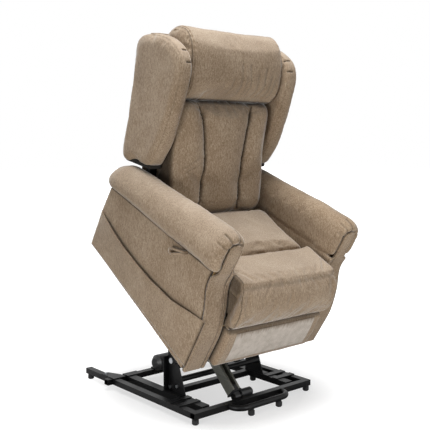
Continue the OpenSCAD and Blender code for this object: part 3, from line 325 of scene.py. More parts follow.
def even_points(points, spacing, closed=False):
    """The same line with its points evenly apart."""
    p = np.asarray(points, float)
    if closed:
        p = np.vstack([p, p[:1]])
    d = np.r_[0, np.cumsum(np.linalg.norm(np.diff(p, axis=0), axis=1))]
    n = max(3, int(round(d[-1] / spacing)))
    s = np.linspace(0, d[-1], n + 1)
    q = np.stack([np.interp(s, d, p[:, k]) for k in range(p.shape[1])], 1)
    return q[:-1] if closed else q


def mesh_piece(name, points, faces, material=MICROFIBRE):
    mesh = bpy.data.meshes.new(name)
    mesh.from_pydata([tuple(p) for p in points], [], faces)
    piece = bpy.data.objects.new(name, mesh)
    bpy.context.scene.collection.objects.link(piece)
    bm = bmesh.new()
    bm.from_mesh(mesh)
    bmesh.ops.remove_doubles(bm, verts=bm.verts, dist=1e-6)
    bmesh.ops.recalc_face_normals(bm, faces=bm.faces)
    bm.to_mesh(mesh)
    bm.free()
    mesh.materials.append(material)
    mesh.shade_smooth()
    return piece


def ring_faces(m, n):
    """Quads between m rings of n points each."""
    return [(k * n + i, k * n + (i + 1) % n, (k + 1) * n + (i + 1) % n, (k + 1) * n + i)
        for k in range(m - 1) for i in range(n)]


def grid_faces(cols, rows):
    """Quads of a sheet whose points go up one column after another."""
    return [(i * (rows + 1) + j, (i + 1) * (rows + 1) + j, (i + 1) * (rows + 1) + j + 1,
        i * (rows + 1) + j + 1) for i in range(cols) for j in range(rows)]


def loft(name, rings, place):
    """Closed skin over rings of points, its ends closed with a fan."""
    r = np.asarray(rings, float)
    m, n = r.shape[:2]
    pts = np.vstack([r.reshape(-1, 3), r[0].mean(0), r[-1].mean(0)])
    faces = ring_faces(m, n)
    for i in range(n):
        j = (i + 1) % n
        faces.append((m * n, j, i))
        faces.append((m * n + 1, (m - 1) * n + i, (m - 1) * n + j))
    return mesh_piece(name, place(pts), faces)


def capped_skin(name, rings, place, material=MICROFIBRE):
    """Closed skin over rings of points, with one flat face over each end."""
    r = np.asarray(rings, float)
    m, n = r.shape[:2]
    faces = ring_faces(m, n) + [tuple(range(n - 1, -1, -1)), tuple((m - 1) * n + i for i in range(n))]
    return mesh_piece(name, place(r.reshape(-1, 3)), faces, material)


def slab(name, outline, low, high, edge, spot, place=in_chair, material=MICROFIBRE):
    """A padded board: an outline given a thickness, its rims rounded. spot turns
    an outline point and a depth into a place."""
    o = np.asarray(outline, float)
    area = 0.5 * np.sum(o[:, 0] * np.roll(o[:, 1], -1) - np.roll(o[:, 0], -1) * o[:, 1])
    t = np.roll(o, -1, 0) - np.roll(o, 1, 0)
    t /= np.linalg.norm(t, axis=1)[:, None] + 1e-9
    inward = np.stack([-t[:, 1], t[:, 0]], 1) * (1 if area > 0 else -1)
    rings = [[spot(q, low + edge * (1 - math.cos(math.pi / 2 * k / 4)))
        for q in o + inward * edge * (1 - math.sin(math.pi / 2 * k / 4))] for k in range(5)]
    rings += [[spot(q, high - edge * (1 - math.sin(math.pi / 2 * k / 4)))
        for q in o + inward * edge * (1 - math.cos(math.pi / 2 * k / 4))] for k in range(5)]
    return capped_skin(name, rings, place, material)


def sideways(side):
    """For slab: an outline of the side view, with its depth across the chair."""
    return lambda q, d: [side * d, q[0], q[1]]


def both_ends(ends, middle):
    """Stations over the width of a pad: its left end, its middle and its right end."""
    return ends + middle + [(-t, s) for t, s in reversed(ends)]


def rounded_box(x0, x1, y0, y1, r):
    """Points round a rectangle with rounded corners."""
    r = min(r, (x1 - x0) / 2.05, (y1 - y0) / 2.05)
    corners = ((x1 - r, y1 - r, 0), (x0 + r, y1 - r, 90), (x0 + r, y0 + r, 180), (x1 - r, y0 + r, 270))
    return [[cx + r * math.cos(math.radians(a + b)), cy + r * math.sin(math.radians(a + b))]
        for cx, cy, a in corners for b in (0, 30, 60, 90)]


def choose(*pieces):
    """Selects these pieces; the last one is active."""
    bpy.ops.object.select_all(action="DESELECT")
    for piece in pieces:
        piece.select_set(True)
    bpy.context.view_layer.objects.active = pieces[-1]


def join(piece, other):
    choose(other, piece)
    bpy.ops.object.join()


def apply_modifier(piece, made):
    choose(piece)
    bpy.ops.object.modifier_apply(modifier=made.name)


def remesh(piece, voxel, smooth=2):
    """Even small faces all over, so that the cloth can move."""
    made = piece.modifiers.new("even_faces", "REMESH")
    made.mode, made.voxel_size = "VOXEL", voxel * 0.001
    apply_modifier(piece, made)
    made = piece.modifiers.new("relax", "SMOOTH")
    made.factor, made.iterations = 0.5, smooth
    apply_modifier(piece, made)
    piece.data.shade_smooth()


def coords(piece, kind="co"):
    """One row a vertex: its place, or its normal."""
    rows = np.zeros(len(piece.data.vertices) * 3)
    piece.data.vertices.foreach_get(kind, rows)
    return rows.reshape(-1, 3)


def normals(piece):
    return coords(piece, "normal")


def set_coords(piece, co):
    piece.data.vertices.foreach_set("co", co.reshape(-1))
    piece.data.update()


def rise(x, width):
    """Goes from 0 to 1 while x goes from 0 to the width."""
    return np.clip(x / width, 0, 1)


def nearest_on(points):
    """Looks up the nearest of the points: its number and how far it is."""
    tree = kdtree.KDTree(len(points))
    for i, q in enumerate(points):
        tree.insert(q, i)
    tree.balance()
    return lambda c: tree.find(c)[1:]


def stuff(piece, voxel, pressure, cap, spare, hold=None, seams=(), frames=16):
    """Fills a cover: a short cloth simulation under pressure, the way the cover
    settles over its foam. No part of it moves further than cap, in millimetres, and
    spare is the share of cloth that is too much."""
    remesh(piece, voxel)
    start = coords(piece)
    held = np.zeros(len(start), bool) if hold is None else hold(start)
    for path in seams:
        near = nearest_on(even_points(path, 0.003))
        held |= np.array([near(c)[1] < 0.006 for c in start])
    start = start - normals(piece) * (min(cap * 0.45, 5.0) * 0.001 * ~held[:, None])
    set_coords(piece, start)
    made = piece.modifiers.new("Cloth", "CLOTH")
    cloth = made.settings
    cloth.quality, cloth.mass = 5, 0.25
    cloth.tension_stiffness = cloth.compression_stiffness = 12
    cloth.shear_stiffness, cloth.bending_stiffness = 6, 0.35
    cloth.use_pressure, cloth.uniform_pressure_force = True, pressure
    cloth.shrink_min = -spare
    cloth.effector_weights.gravity = 0
    made.collision_settings.use_collision = False
    made.collision_settings.use_self_collision = False
    if held.any():
        group = piece.vertex_groups.new(name="held")
        group.add([int(i) for i in np.nonzero(held)[0]], 1.0, "REPLACE")
        cloth.vertex_group_mass = "held"
    scene = bpy.context.scene
    scene.frame_start, scene.frame_end = 1, frames
    made.point_cache.frame_start, made.point_cache.frame_end = 1, frames
    for f in range(1, frames + 1):
        scene.frame_set(f)
    shape = piece.evaluated_get(bpy.context.evaluated_depsgraph_get())
    move = coords(shape) - start
    far = np.linalg.norm(move, axis=1)
    move *= np.minimum(1, cap * 0.001 / np.maximum(far, 1e-9))[:, None]
    piece.modifiers.remove(made)
    scene.frame_set(1)
    set_coords(piece, start + move)
    made = piece.modifiers.new("finer", "SUBSURF")
    made.levels = 1
    apply_modifier(piece, made)


# The seam mark holds painted shade, one value a vertex: along seams and folds and where pieces meet or lie
# under others
def painted_shade_attribute(piece):
    a = piece.data.attributes.get("seam")
    return a if a else piece.data.attributes.new("seam", "FLOAT", "POINT")


def paint_shade(piece, dark):
    """Paints shade on the cloth: darkens it where dark, one value a vertex, is above what it has."""
    a = painted_shade_attribute(piece)
    had = np.zeros(len(piece.data.vertices))
    a.data.foreach_get("value", had)
    a.data.foreach_set("value", np.maximum(had, dark))


def paint_highlight(piece):
    """Marks how far each part of a cover faces up, for a painted highlight that pales up-facing cloth."""
    up = np.clip(normals(piece)[:, 2], 0, 1)
    a = piece.data.attributes.new("painted_highlight", "FLOAT", "POINT")
    a.data.foreach_set("value", up)


def sew(piece, path, depth, width, pucker=0.0, pitch=22.0, reach=26.0, shade=0.7):
    """Pulls the cover in along a seam, with short gathers of a pitch beside it, as far as
    their reach, and lays painted shade along it, as dark as shade. The path is in row metres; sizes are in
    millimetres."""
    co, no = coords(piece), normals(piece)
    on_cover = nearest_on(co)
    p = np.array([co[on_cover(q)[0]] for q in even_points(path, 0.003)])
    for _ in range(12):
        p[1:-1] = (p[:-2] + p[1:-1] * 2 + p[2:]) / 4
    p = even_points(p, 0.003)
    near_seam = nearest_on(p)
    run = np.r_[0, np.cumsum(np.linalg.norm(np.diff(p, axis=0), axis=1))] * 1000
    a = painted_shade_attribute(piece)
    dark = np.zeros(len(co))
    a.data.foreach_get("value", dark)
    far = reach * 2.2
    around = (far + 2) * 0.001
    close = np.nonzero(((co > p.min(0) - around) & (co < p.max(0) + around)).all(1))[0]
    for i in close:
        k, d = near_seam(co[i])
        d *= 1000
        if d > far:
            continue
        pull = depth * math.exp(-(d / width) ** 2)
        if pucker:
            phase = 2 * math.pi * run[k] / pitch + 1.7 * noise.noise(Vector((run[k] * 0.021, 3.1, 0)))
            beside = math.exp(-(d / reach) ** 2) * (1 - math.exp(-(d / width) ** 2))
            uneven = 0.55 + 0.9 * noise.noise(Vector((run[k] * 0.013, 7.7, 1)))
            pull += pucker * (0.5 + 0.5 * math.sin(phase)) * beside * uneven
        co[i] -= no[i] * pull * 0.001
        # Painted shade along the seam
        dark[i] = max(dark[i], shade * math.exp(-(d / (width * 0.75)) ** 2))
    a.data.foreach_set("value", dark)
    set_coords(piece, co)


def ripple(piece, amount, size, seed):
    """Slow unevenness of foam under cloth, in millimetres."""
    co, no = coords(piece), normals(piece)
    for i, c in enumerate(co):
        q = Vector(c) * (1000.0 / size) + Vector((seed, seed, seed))
        co[i] += no[i] * amount * 0.001 * noise.fractal(q, 1.0, 2.0, 2)
    set_coords(piece, co)


def welt(name, path, radius=2.2):
    """A round welt of the chair along a path in row metres; its radius is in millimetres."""
    p = even_points(path, 0.006)
    t = np.roll(p, -1, 0) - np.roll(p, 1, 0)
    t[0], t[-1] = p[1] - p[0], p[-1] - p[-2]
    t /= np.linalg.norm(t, axis=1)[:, None] + 1e-12
    up = np.array([1.0, 0, 0]) if abs(t[0][0]) < 0.9 else np.array([0, 0, 1.0])
    rings = []
    for i in range(len(p)):
        up = up - t[i] * np.dot(up, t[i])
        up /= np.linalg.norm(up) + 1e-12
        beside = np.cross(t[i], up)
        rings.append([p[i] + radius * 0.001 * (math.cos(a) * up + math.sin(a) * beside)
            for a in np.linspace(0, 2 * math.pi, 8, endpoint=False)])
    piece = capped_skin(name, rings, lambda q: q)
    finish_soft(piece, "chair", [], painted_highlight=False)


def thicken(piece, thickness):
    """Gives a sheet the thickness of its cloth, in metres."""
    made = piece.modifiers.new("cloth_thickness", "SOLIDIFY")
    made.thickness, made.offset = thickness, 0
    apply_modifier(piece, made)
    piece.data.shade_smooth()


def finish_soft(piece, body, nodes, painted_highlight=True):
    if body:
        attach(piece, body)
    if nodes:
        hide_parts(*nodes)
    # Up-facing cloth gets a painted highlight
    if painted_highlight:
        paint_highlight(piece)


def finish_sheet(piece, body, node):
    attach(piece, body)
    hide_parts(node)


# Sizes of the soft pieces, mm
WORD = {-1: "left", 1: "right"}
SEAT_GAP, CHAIR_W, PANEL_D, PANEL_T = 532.0, 745.0, 805.0, 20.0
SEAM_FRONT, SEAM_REAR, ARM_FRONT, ARM_REAR = 444.0, 330.0, 60.0, 812.0
SEAT_HALF, BACK_HALF, BACK_REAR = 263.0, 262.4, 181.8
INNER_FACE, KNEE_TOP, WING_H = 266.6, 418.0, 740.0
RIDGE_TOP, RIDGE_DROP = 612.0, 140.0
RIDGE = ([0, 0.07, 0.29, 0.5, 0.77, 0.92, 1], [0, 0.01, 0.19, 0.44, 0.77, 1, 1.26])


def seam_height(y):
    """The seam between arm roll and side panel."""
    return SEAM_FRONT + (SEAM_REAR - SEAM_FRONT) * (y - ARM_FRONT) / (ARM_REAR - ARM_FRONT)


def ridge_height(y):
    """The top of the arm roll."""
    return RIDGE_TOP - RIDGE_DROP * np.interp((y - ARM_FRONT) / (ARM_REAR - ARM_FRONT), *RIDGE)


FRONT_EDGE = spline_points(np.array([[-0.007, -0.009], [-0.012, 0.2], [-0.011, 0.42], [0.04, 0.64],
    [0.105, 0.79], [0.13, 0.9], [0.13, 1]]) * SEAM_FRONT, 8)


def front_edge(z):
    """How far back the front of the sides stands."""
    return np.interp(z, FRONT_EDGE[:, 1], FRONT_EDGE[:, 0])


# Arms
ROLL = np.array([[0.03, 0], [-0.005, 0.3], [0.03, 0.62], [0.17, 0.88], [0.42, 1], [0.66, 0.95],
    [0.86, 0.76], [1, 0.46], [0.985, 0.2], [0.9, 0.04], [0.74, -0.01], [0.4, 0]])
ROLL_SIZE = np.array([140.0, 170.0])
TONGUE_X, TONGUE_Z, TONGUE_R = 320.5, 542.5, 29.5


def off_tongue(x, z):
    """How far a place on the front of the roll is outside the tongue."""
    across = np.abs(x - TONGUE_X) - TONGUE_R
    return np.where(z < TONGUE_Z, across, np.hypot(x - TONGUE_X, z - TONGUE_Z) - TONGUE_R)


def arm_roll(side):
    """One cover: the stuffed roll, and its inner side down to the seat frame."""
    section = even_points(spline_points(ROLL, 6, True) * ROLL_SIZE, 4.5, True) / ROLL_SIZE
    first = int(np.argmin(np.hypot(section[:, 0] - 0.02, section[:, 1])))
    section = np.roll(section, -first, 0)
    if section[3, 1] < 0.02:
        section = section[::-1]
    stations = [(0.0095, 0.42), (0.004, 0.56), (0.0015, 0.7), (0.001, 0.82), (0.006, 0.9), (0.016, 0.955),
        (0.035, 0.99), (0.06, 1.0)]
    stations += [(t, 1.0 - 0.018 * math.sin(math.pi * (t - 0.06) / 0.86))
        for t in np.linspace(0.075, 0.9, 60)]
    stations += [(0.925, 0.985), (0.95, 0.955), (0.97, 0.91), (0.985, 0.85), (0.994, 0.77), (0.999, 0.66),
        (0.9995, 0.5), (0.997, 0.3)]
    x0, w = SEAT_GAP / 2, CHAIR_W / 2 + 30 - SEAT_GAP / 2
    rings = []
    for t, s in stations:
        y = ARM_FRONT + t * (ARM_REAR - ARM_FRONT)
        low = seam_height(y) + 0.3
        h = ridge_height(y) - low
        end = t < 0.03 or t > 0.95
        ring = []
        for a, b in section:
            lift = (0.42 + (b - 0.42) * s) if end else (b * s if b > 0.1 else b)
            ring.append([side * (x0 + 1 + (w - 1) * (0.5 + (a - 0.5) * s)), y, low + max(0.0, h * lift)])
        rings.append(ring)
    roll = loft(f"{WORD[side]}_arm_roll", rings, in_chair)
    inner = [[84, 333], [781, 333], [781, seam_height(781) + 25], [84, seam_height(84) + 30]]
    join(roll, slab("inner_side", even_points(inner, 12, True), INNER_FACE + 0.2, 284.4, 4, sideways(side)))

    def inner_edge(co):
        q = chair_mm(co)
        return (np.abs(q[:, 0]) < 286) & (q[:, 2] < seam_height(q[:, 1]) - 4)

    stuff(roll, 8.0, 2.0, 6.0, 0.015, hold=inner_edge, frames=12)
    ripple(roll, 1.6, 120, 3.3 * side)
    # The roll puffs out round the tongue, which lies sunk between its lobes
    co = coords(roll)
    q = chair_mm(co)
    off = off_tongue(np.abs(q[:, 0]), q[:, 2])
    front = rise(96 - q[:, 1], 34) * (q[:, 2] > 440)
    push = front * np.where(off < 3, 7.0 * rise(3 - off, 6),
        -6.5 * np.exp(-((off - 17) / 13) ** 2))
    q[:, 1] += push
    set_coords(roll, in_chair(q))
    # Pleats gathered round the front of the roll, with painted shade in their folds
    for turn, far, back, deep, shade in [(170, 50, 26, 2.5, 0.15), (130, 62, 40, 3.4, 0.25),
        (98, 70, 46, 4.6, 0.6), (52, 77, 40, 4.6, 0.6), (18, 78, 30, 3.2, 0.25), (-22, 62, 20, 2.4, 0.15)]:
        c, s = math.cos(math.radians(turn)), math.sin(math.radians(turn))
        over = [(TONGUE_R + 2, 54), (far * 0.7, 50), (far - 4, 58), (far, 72), (far + 1, 60 + back)]
        line = [[side * (TONGUE_X + r * c), y, TONGUE_Z + r * s] for r, y in over]
        sew(roll, in_chair(spline_points(line, 6)), deep, 4.2, 0, shade=shade)
    # Painted shade under the roll, along its seam to the side panel
    q = chair_mm(coords(roll))
    low_edge = rise(seam_height(q[:, 1]) + 7 - q[:, 2], 6)
    paint_shade(roll, 0.8 * low_edge * (np.abs(q[:, 0]) > 366))
    # The right roll is left without the painted highlight on up-facing cloth, so that it stays the darker
    # one
    finish_soft(roll, "chair", [f"{WORD[side]}_arm_pad", f"{WORD[side]}_inner_arm"], painted_highlight=side < 0)


def side_outline():
    """The side panel seen from the side."""
    z = np.linspace(-2, SEAM_FRONT, 70)
    front = np.stack([front_edge(z) + 20.3, z], 1)
    rear = [[PANEL_D - 12, SEAM_REAR + 2], [PANEL_D - 1, 193], [PANEL_D, 18]]
    line = np.vstack([front, even_points(rear, 12)])
    return even_points(line, 9, True)


def side_panel(side):
    """The flat outer side of an arm, and its return at the rear."""
    x0, x1 = CHAIR_W / 2 - PANEL_T, CHAIR_W / 2
    panel = slab(f"{WORD[side]}_side_cover", side_outline(), x0, x1, 5, sideways(side))
    remesh(panel, 7.0, 1)
    ripple(panel, 1.2, 150, 8.1)
    # Painted shade along the front edge, by the facing, and along the seam under the roll
    q = chair_mm(coords(panel))
    paint_shade(panel, 0.8 * rise(front_edge(q[:, 2]) + 26 - q[:, 1], 5))
    paint_shade(panel, 0.8 * rise(q[:, 2] - seam_height(q[:, 1]) + 7, 6))
    finish_soft(panel, "chair", [f"{WORD[side]}_side_panel"])
    # The cover comes round the rear corner to the valance
    lap, corner = PANEL_D - 23.7, PANEL_D - 12
    line = [[lap, 18], [PANEL_D, 18], [corner, seam_height(corner) - 0.3], [lap, seam_height(lap) - 0.3]]
    turn = slab(f"{WORD[side]}_rear_return", even_points(line, 10, True), 265.3, x0, 4, sideways(side))
    finish_soft(turn, "chair", [], painted_highlight=False)


def facing(side):
    """The front of an arm: full width low down, a narrow round-topped tongue up
    the front of the roll, and a return round the inner corner; welted edges."""
    inner, outer = INNER_FACE, CHAIR_W / 2

    def edges(z):
        k = min(1.0, max(0.0, (z - 428) / 20))
        k = k * k * (3 - 2 * k)
        lo, hi = inner + (TONGUE_X - TONGUE_R - inner) * k, outer + (TONGUE_X + TONGUE_R - outer) * k
        if z > TONGUE_Z:
            r = math.sqrt(max(TONGUE_R ** 2 - (z - TONGUE_Z) ** 2, 9.0))
            lo, hi = TONGUE_X - r, TONGUE_X + r
        return lo, hi

    def spot(x, z, d=0.0):
        return [side * x, front_edge(z) - max(0.0, min(1.0, (z - 380) / 60)) * 7 + d, z]

    rings = []
    for z in [-4, *np.linspace(-3, 541, 110), *(TONGUE_Z + TONGUE_R * np.sin(np.linspace(0.05, 1.52, 14)))]:
        lo, hi = edges(z)
        deep = 19.6 if z < 425 else 13.0
        rings.append([spot(p[0], z, p[1]) for p in rounded_box(lo, hi, 0, deep, 5.5)])
    piece = loft(f"{WORD[side]}_arm_facing", rings, in_chair)
    back_edge = [[front_edge(z) + 4, z] for z in np.linspace(0, 440, 40)]
    back_edge += [[100, 440], [100, 30], [60, 10]]
    join(piece, slab("inner_return", even_points(back_edge, 9, True), inner, 280.0, 4, sideways(side)))
    remesh(piece, 5.0, 1)
    # The welted seam that runs down from the tongue, with painted shade along it, and the strip inside it
    sew(piece, in_chair([spot(291 - 5 * (1 - z / 470), z) for z in np.linspace(470, 0, 60)]), 3.5, 3.6,
        0.6, 26, 14, shade=0.9)
    q = chair_mm(coords(piece))
    across = np.abs(q[:, 0])
    # Painted shade on the left facing's inner side, in the gap by the knee pad, and on the facings' sides
    # where they meet the side panels
    if side < 0:
        paint_shade(piece, 0.9 * (across < 271) * (q[:, 2] < 440))
    paint_shade(piece, 0.85 * (q[:, 1] > front_edge(q[:, 2]) + 13) * (across > 290) * (q[:, 2] < 412))
    finish_soft(piece, "chair", ["front_facings"])
    edge = [[outer - 2, z] for z in np.linspace(0, 404, 30)]
    edge += [[edges(z)[1] - 1, z] for z in np.linspace(410, 540, 20)]
    edge += [[TONGUE_X + TONGUE_R * math.cos(a), TONGUE_Z + TONGUE_R * math.sin(a)]
        for a in np.linspace(0, math.pi, 14)]
    edge += [[edges(z)[0] + 1, z] for z in np.linspace(540, 430, 14)]
    edge += [[289 - 5 * (1 - z / 430), z] for z in np.linspace(415, 0, 30)]
    welt(f"{WORD[side]}_facing_welt", in_chair([spot(q[0], q[1], 1.4) for q in spline_points(edge, 2)]))


def pocket():
    """A cloth pocket over the whole side, its hem elastic and hanging in a slack curve."""
    share = ([0, 0.1, 0.24, 0.42, 0.58, 0.75, 0.9, 1],
        [0.318, 0.295, 0.252, 0.228, 0.222, 0.228, 0.245, 0.252])
    front, rear, low = 4.0, 796.0, 22.0
    cols, rows = 120, 26
    pts = []
    for i in range(cols + 1):
        t = i / cols
        y = front + t * (rear - front)
        top = PANEL_D * float(np.interp(t, *share))
        out = 15.5 * (1 - abs(2 * t - 1) ** 6)
        for j in range(rows + 1):
            s = j / rows
            z = low + s * (top - low)
            wave = 1.3 * noise.noise(Vector((y * 0.012, z * 0.008, 2.0))) * s
            pts.append([-(CHAIR_W / 2 + 0.9 + out * s ** 1.1 + wave), y, z])
    piece = mesh_piece("side_pocket_cloth", in_chair(pts), grid_faces(cols, rows))
    # Painted shade along the pocket's front end, where the seam to the facing runs down behind it
    paint_shade(piece, 0.8 * rise(14 - np.array([p[1] for p in pts]), 6))
    thicken(piece, 0.0022)
    finish_sheet(piece, "chair", "side_pocket")
    hem = [pts[i * (rows + 1) + rows] for i in range(cols + 1)]
    welt("pocket_hem", in_chair([[p[0], p[1], p[2] - 1.0] for p in hem]))


def pull_strap():
    """A doubled strap, sewn in under the roll, whose loop hangs open below it."""
    root, fold = np.array([219.0, 417.0]), np.array([290.0, 374.0])
    radius, wide, thick = 15.0, 22.0, 4.0
    along = (fold - root) / np.linalg.norm(fold - root)
    beside = np.array([-along[1], along[0]])
    turn = [fold + (radius - thick) * (math.cos(a) * beside + math.sin(a) * along)
        for a in np.linspace(0, math.pi, 14)]
    line = np.vstack([[root + beside * 2.2], [root + along * 30 + beside * 5], turn,
        [root + along * 30 - beside * 5], [root - beside * 2.2]])
    line = even_points(spline_points(line, 4), 3)
    x0 = -(CHAIR_W / 2 + 0.5)
    rows = 6
    pts = [[x0 - wide * j / rows, q[0], q[1]] for q in line for j in range(rows + 1)]
    piece = mesh_piece("pull_strap", in_chair(pts), grid_faces(len(line) - 1, rows))
    thicken(piece, 0.0078)
    finish_sheet(piece, "chair", "pull_loop")


# Seat
def seat_cushion():
    """The seat: a crowned cushion whose rear end leans with the back."""
    bottom, top, crown, front, end = 304.3, 418.0, 9.0, 186.5, 487.0
    h = (top - bottom - crown) / 2
    stations = [(0, 0.96, 0.62), (0.012, 0.975, 0.84), (0.04, 0.985, 0.95), (0.1, 0.99, 0.99)]
    stations += [(t, 0.985, 1.0) for t in np.linspace(0.14, 0.88, 34)]
    stations += [(0.93, 0.985, 0.98), (0.97, 0.975, 0.92), (0.99, 0.96, 0.8), (1, 0.93, 0.6)]
    rings = []
    for t, ws, hs in stations:
        y = front + t * (end - front)
        ring = []
        for i in range(110):
            a = 2 * math.pi * i / 110
            c, s = math.cos(a), math.sin(a)
            px, pz = math.copysign(abs(c) ** 0.36, c), math.copysign(abs(s) ** 0.36, s)
            z = h * hs * pz + (crown * hs * (1 - px * px) if s > 0 else 0)
            ring.append([SEAT_HALF * ws * px, y + t * math.tan(BACK_LEAN) * (z - h), bottom + h + z])
        rings.append(ring)
    piece = loft("seat_cushion_cover", rings, in_chair)
    stuff(piece, 7.5, 2.5, 9.0, 0.015)
    ripple(piece, 1.6, 110, 1.2)
    # Painted shade on the cushion's sides, between the seat and the arms
    q = chair_mm(coords(piece))
    paint_shade(piece, 0.8 * rise(np.abs(q[:, 0]) - 252, 9))
    finish_soft(piece, "chair", ["seat_cushion"])

KNEE = np.array([[0.437, 0.962], [0.422, 1.002], [0.263, 1.01], [0.13, 1.018], [0.05, 1.022],
    [0.018, 1.015], [-0.004, 0.992], [-0.04, 0.945], [-0.1, 0.86], [-0.128, 0.78], [-0.138, 0.7],
    [-0.132, 0.62], [-0.112, 0.565], [-0.075, 0.532], [-0.03, 0.522], [0, 0.524], [0.012, 0.6],
    [0.014, 0.706], [0.048, 0.79], [0.12, 0.808], [0.165, 0.762], [0.2, 0.738], [0.41, 0.737],
    [0.437, 0.8]]) * KNEE_TOP


def knee_pad():
    """The front of the seat, which bends down over the knee and hangs to the legrest."""
    line = even_points(spline_points(KNEE, 6, True), 6, True)
    centre = np.array([71.0, 330.0])
    inside = (line[:, 0] > -3) & (line[:, 1] < 350)
    rings = []
    for t, s in both_ends([(-1, 0.9), (-0.996, 0.94), (-0.987, 0.972), (-0.968, 0.99), (-0.94, 1.0)],
        [(t, 1.0) for t in np.linspace(-0.9, 0.9, 70)]):
        ring = []
        for p, fixed in zip(line, inside):
            q = p if fixed else centre + (p - centre) * s
            ring.append([t * SEAT_HALF, q[0], q[1]])
        rings.append(ring)
    piece = loft("knee_pad_cover", rings, in_chair)
    around = spline_points(KNEE[1:15], 6)
    rims = [in_chair([[side * SEAT_HALF * 0.985, p[0], p[1]] for p in around]) for side in (-1, 1)]
    fold = in_chair([[x, 2.0, 426.0] for x in np.linspace(-252, 252, 60)])
    stuff(piece, 6.5, 2.2, 8.0, 0.02, hold=knee_hold, seams=rims + [fold])
    ripple(piece, 1.5, 100, 5.5)
    # The end seams, with painted shade along them
    for rim in rims:
        sew(piece, rim, 3.0, 4.0, 1.8, 17, 16, shade=0.9)
    # The fold along the front is pressed: a line of painted shade lies just under its edge
    sew(piece, in_chair([[x, -14.0, 410.0] for x in np.linspace(-250, 250, 60)]), 1.6, 13.0, 0.6, 31, 18,
        shade=0.26)
    # In front of the arms the pad swells past the gap between them
    q = chair_mm(coords(piece))
    wide = rise(-3 - q[:, 1], 26) * rise(q[:, 2] - 236, 30)
    q[:, 0] *= 1 + 0.05 * wide
    set_coords(piece, in_chair(q))
    # A side wall closes the hollow behind the pad, next to the arm's facing
    wall = [[-22, 217], [1, 250], [1, 352], [42, 352], [82, 332], [82, 240], [40, 217]]
    for side in (-1, 1):
        gusset = slab("knee_gusset", even_points(wall, 8, True), 252.0, SEAT_HALF, 3, sideways(side))
        # The wall stands back in the hollow, so it is painted with shade all over
        paint_shade(gusset, np.full(len(gusset.data.vertices), 0.35))
        join(piece, gusset)
    # Painted shade on the pad's ends, next to the facings
    q = chair_mm(coords(piece))
    paint_shade(piece, 0.7 * rise(np.abs(q[:, 0]) - 256, 6) * rise(q[:, 1] + 22, 26))
    finish_soft(piece, None, ["knee_pad"])
    # Its lower edge is sewn to the legrest
    in_chair([0, 35, 375])[0]
    in_chair([0, -20, 228])[0]
    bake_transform(piece)


def knee_hold(co):
    """The lower edge is sewn to the legrest, and the hollow inside lies on its frame."""
    q = chair_mm(co)
    return (q[:, 2] < 226) | ((q[:, 1] > -2) & (q[:, 2] < 350))


# Legrest
PAD_LOW, PAD_HIGH = 32.0, 214.0


def pad_face(z):
    """The bowed front of the legrest pad."""
    return -46 + 8 * ((2 * z - PAD_LOW - PAD_HIGH) / (PAD_HIGH - PAD_LOW)) ** 2


def legrest_pad():
    """A thin pad over the front of the legrest's board, its rear face flat."""
    rear = 7.6
    rings = []
    for t, s in both_ends([(-1, 0.86), (-0.996, 0.92), (-0.988, 0.965), (-0.972, 0.99), (-0.95, 1.0)],
        [(t, 1.0) for t in np.linspace(-0.89, 0.89, 60)]):
        ring = []
        for z in np.linspace(PAD_LOW, PAD_HIGH, 32):
            edge = min(z - PAD_LOW, PAD_HIGH - z)
            rim = 9 * (1 - min(1, edge / 12)) ** 2
            ring.append([t * SEAT_HALF, rear + (pad_face(z) + rim - rear) * s, z])
        ring += [[t * SEAT_HALF, rear, z] for z in (PAD_HIGH - 3, (PAD_LOW + PAD_HIGH) / 2, PAD_LOW + 3)]
        rings.append(ring)
    piece = loft("legrest_pad_cover", rings, in_chair)
    remesh(piece, 5.0, 1)
    ripple(piece, 1.0, 90, 9.2)
    q = chair_mm(coords(piece))
    # Painted shade on the pad's ends, next to the facings
    paint_shade(piece, 0.8 * rise(np.abs(q[:, 0]) - 255, 5) * rise(q[:, 1] + 24, 20))
    # Its upper edge is painted with the shade of the knee pad
    paint_shade(piece, 0.5 * rise(q[:, 2] - 201, 8))
    finish_soft(piece, "legrest", ["legrest_pad"])


def patch():
    """A bare cloth patch, stitched on the front of the legrest."""
    half, low, high = 222.0, 62.0, 206.0
    cols, rows = 180, 44
    pts = []
    for i in range(cols + 1):
        x = -half + 2 * half * i / cols
        for j in range(rows + 1):
            z = low + (high - low) * j / rows
            pts.append([x, pad_face(z) - 1.9 - 0.5 * noise.noise(Vector((x * 0.02, z * 0.03, 4))), z])
    faces = [(a, d, c, b) for a, b, c, d in grid_faces(cols, rows)]
    piece = mesh_piece("front_patch_cloth", in_chair(pts), faces, PATCH)
    # Painted shade under the knee pad's edge, in uneven streaks
    q = chair_mm(coords(piece))
    reach = 20 + 22 * np.array([noise.noise(Vector((x * 0.09, 0, 3)))
        + noise.noise(Vector((x * 0.3, 5, 3))) for x in q[:, 0]])
    paint_shade(piece, 0.9 * np.clip(1 - (high - q[:, 2]) / np.maximum(reach, 3), 0, 1))
    thicken(piece, 0.0011)
    finish_sheet(piece, "legrest", "front_patch")


# Back
def channel_seam(s):
    """Half distance between the two seams, as a share of the half width, up the cushion."""
    return np.interp(s, [0, 0.25, 0.5, 0.75, 1], [0.43, 0.41, 0.41, 0.47, 0.57])


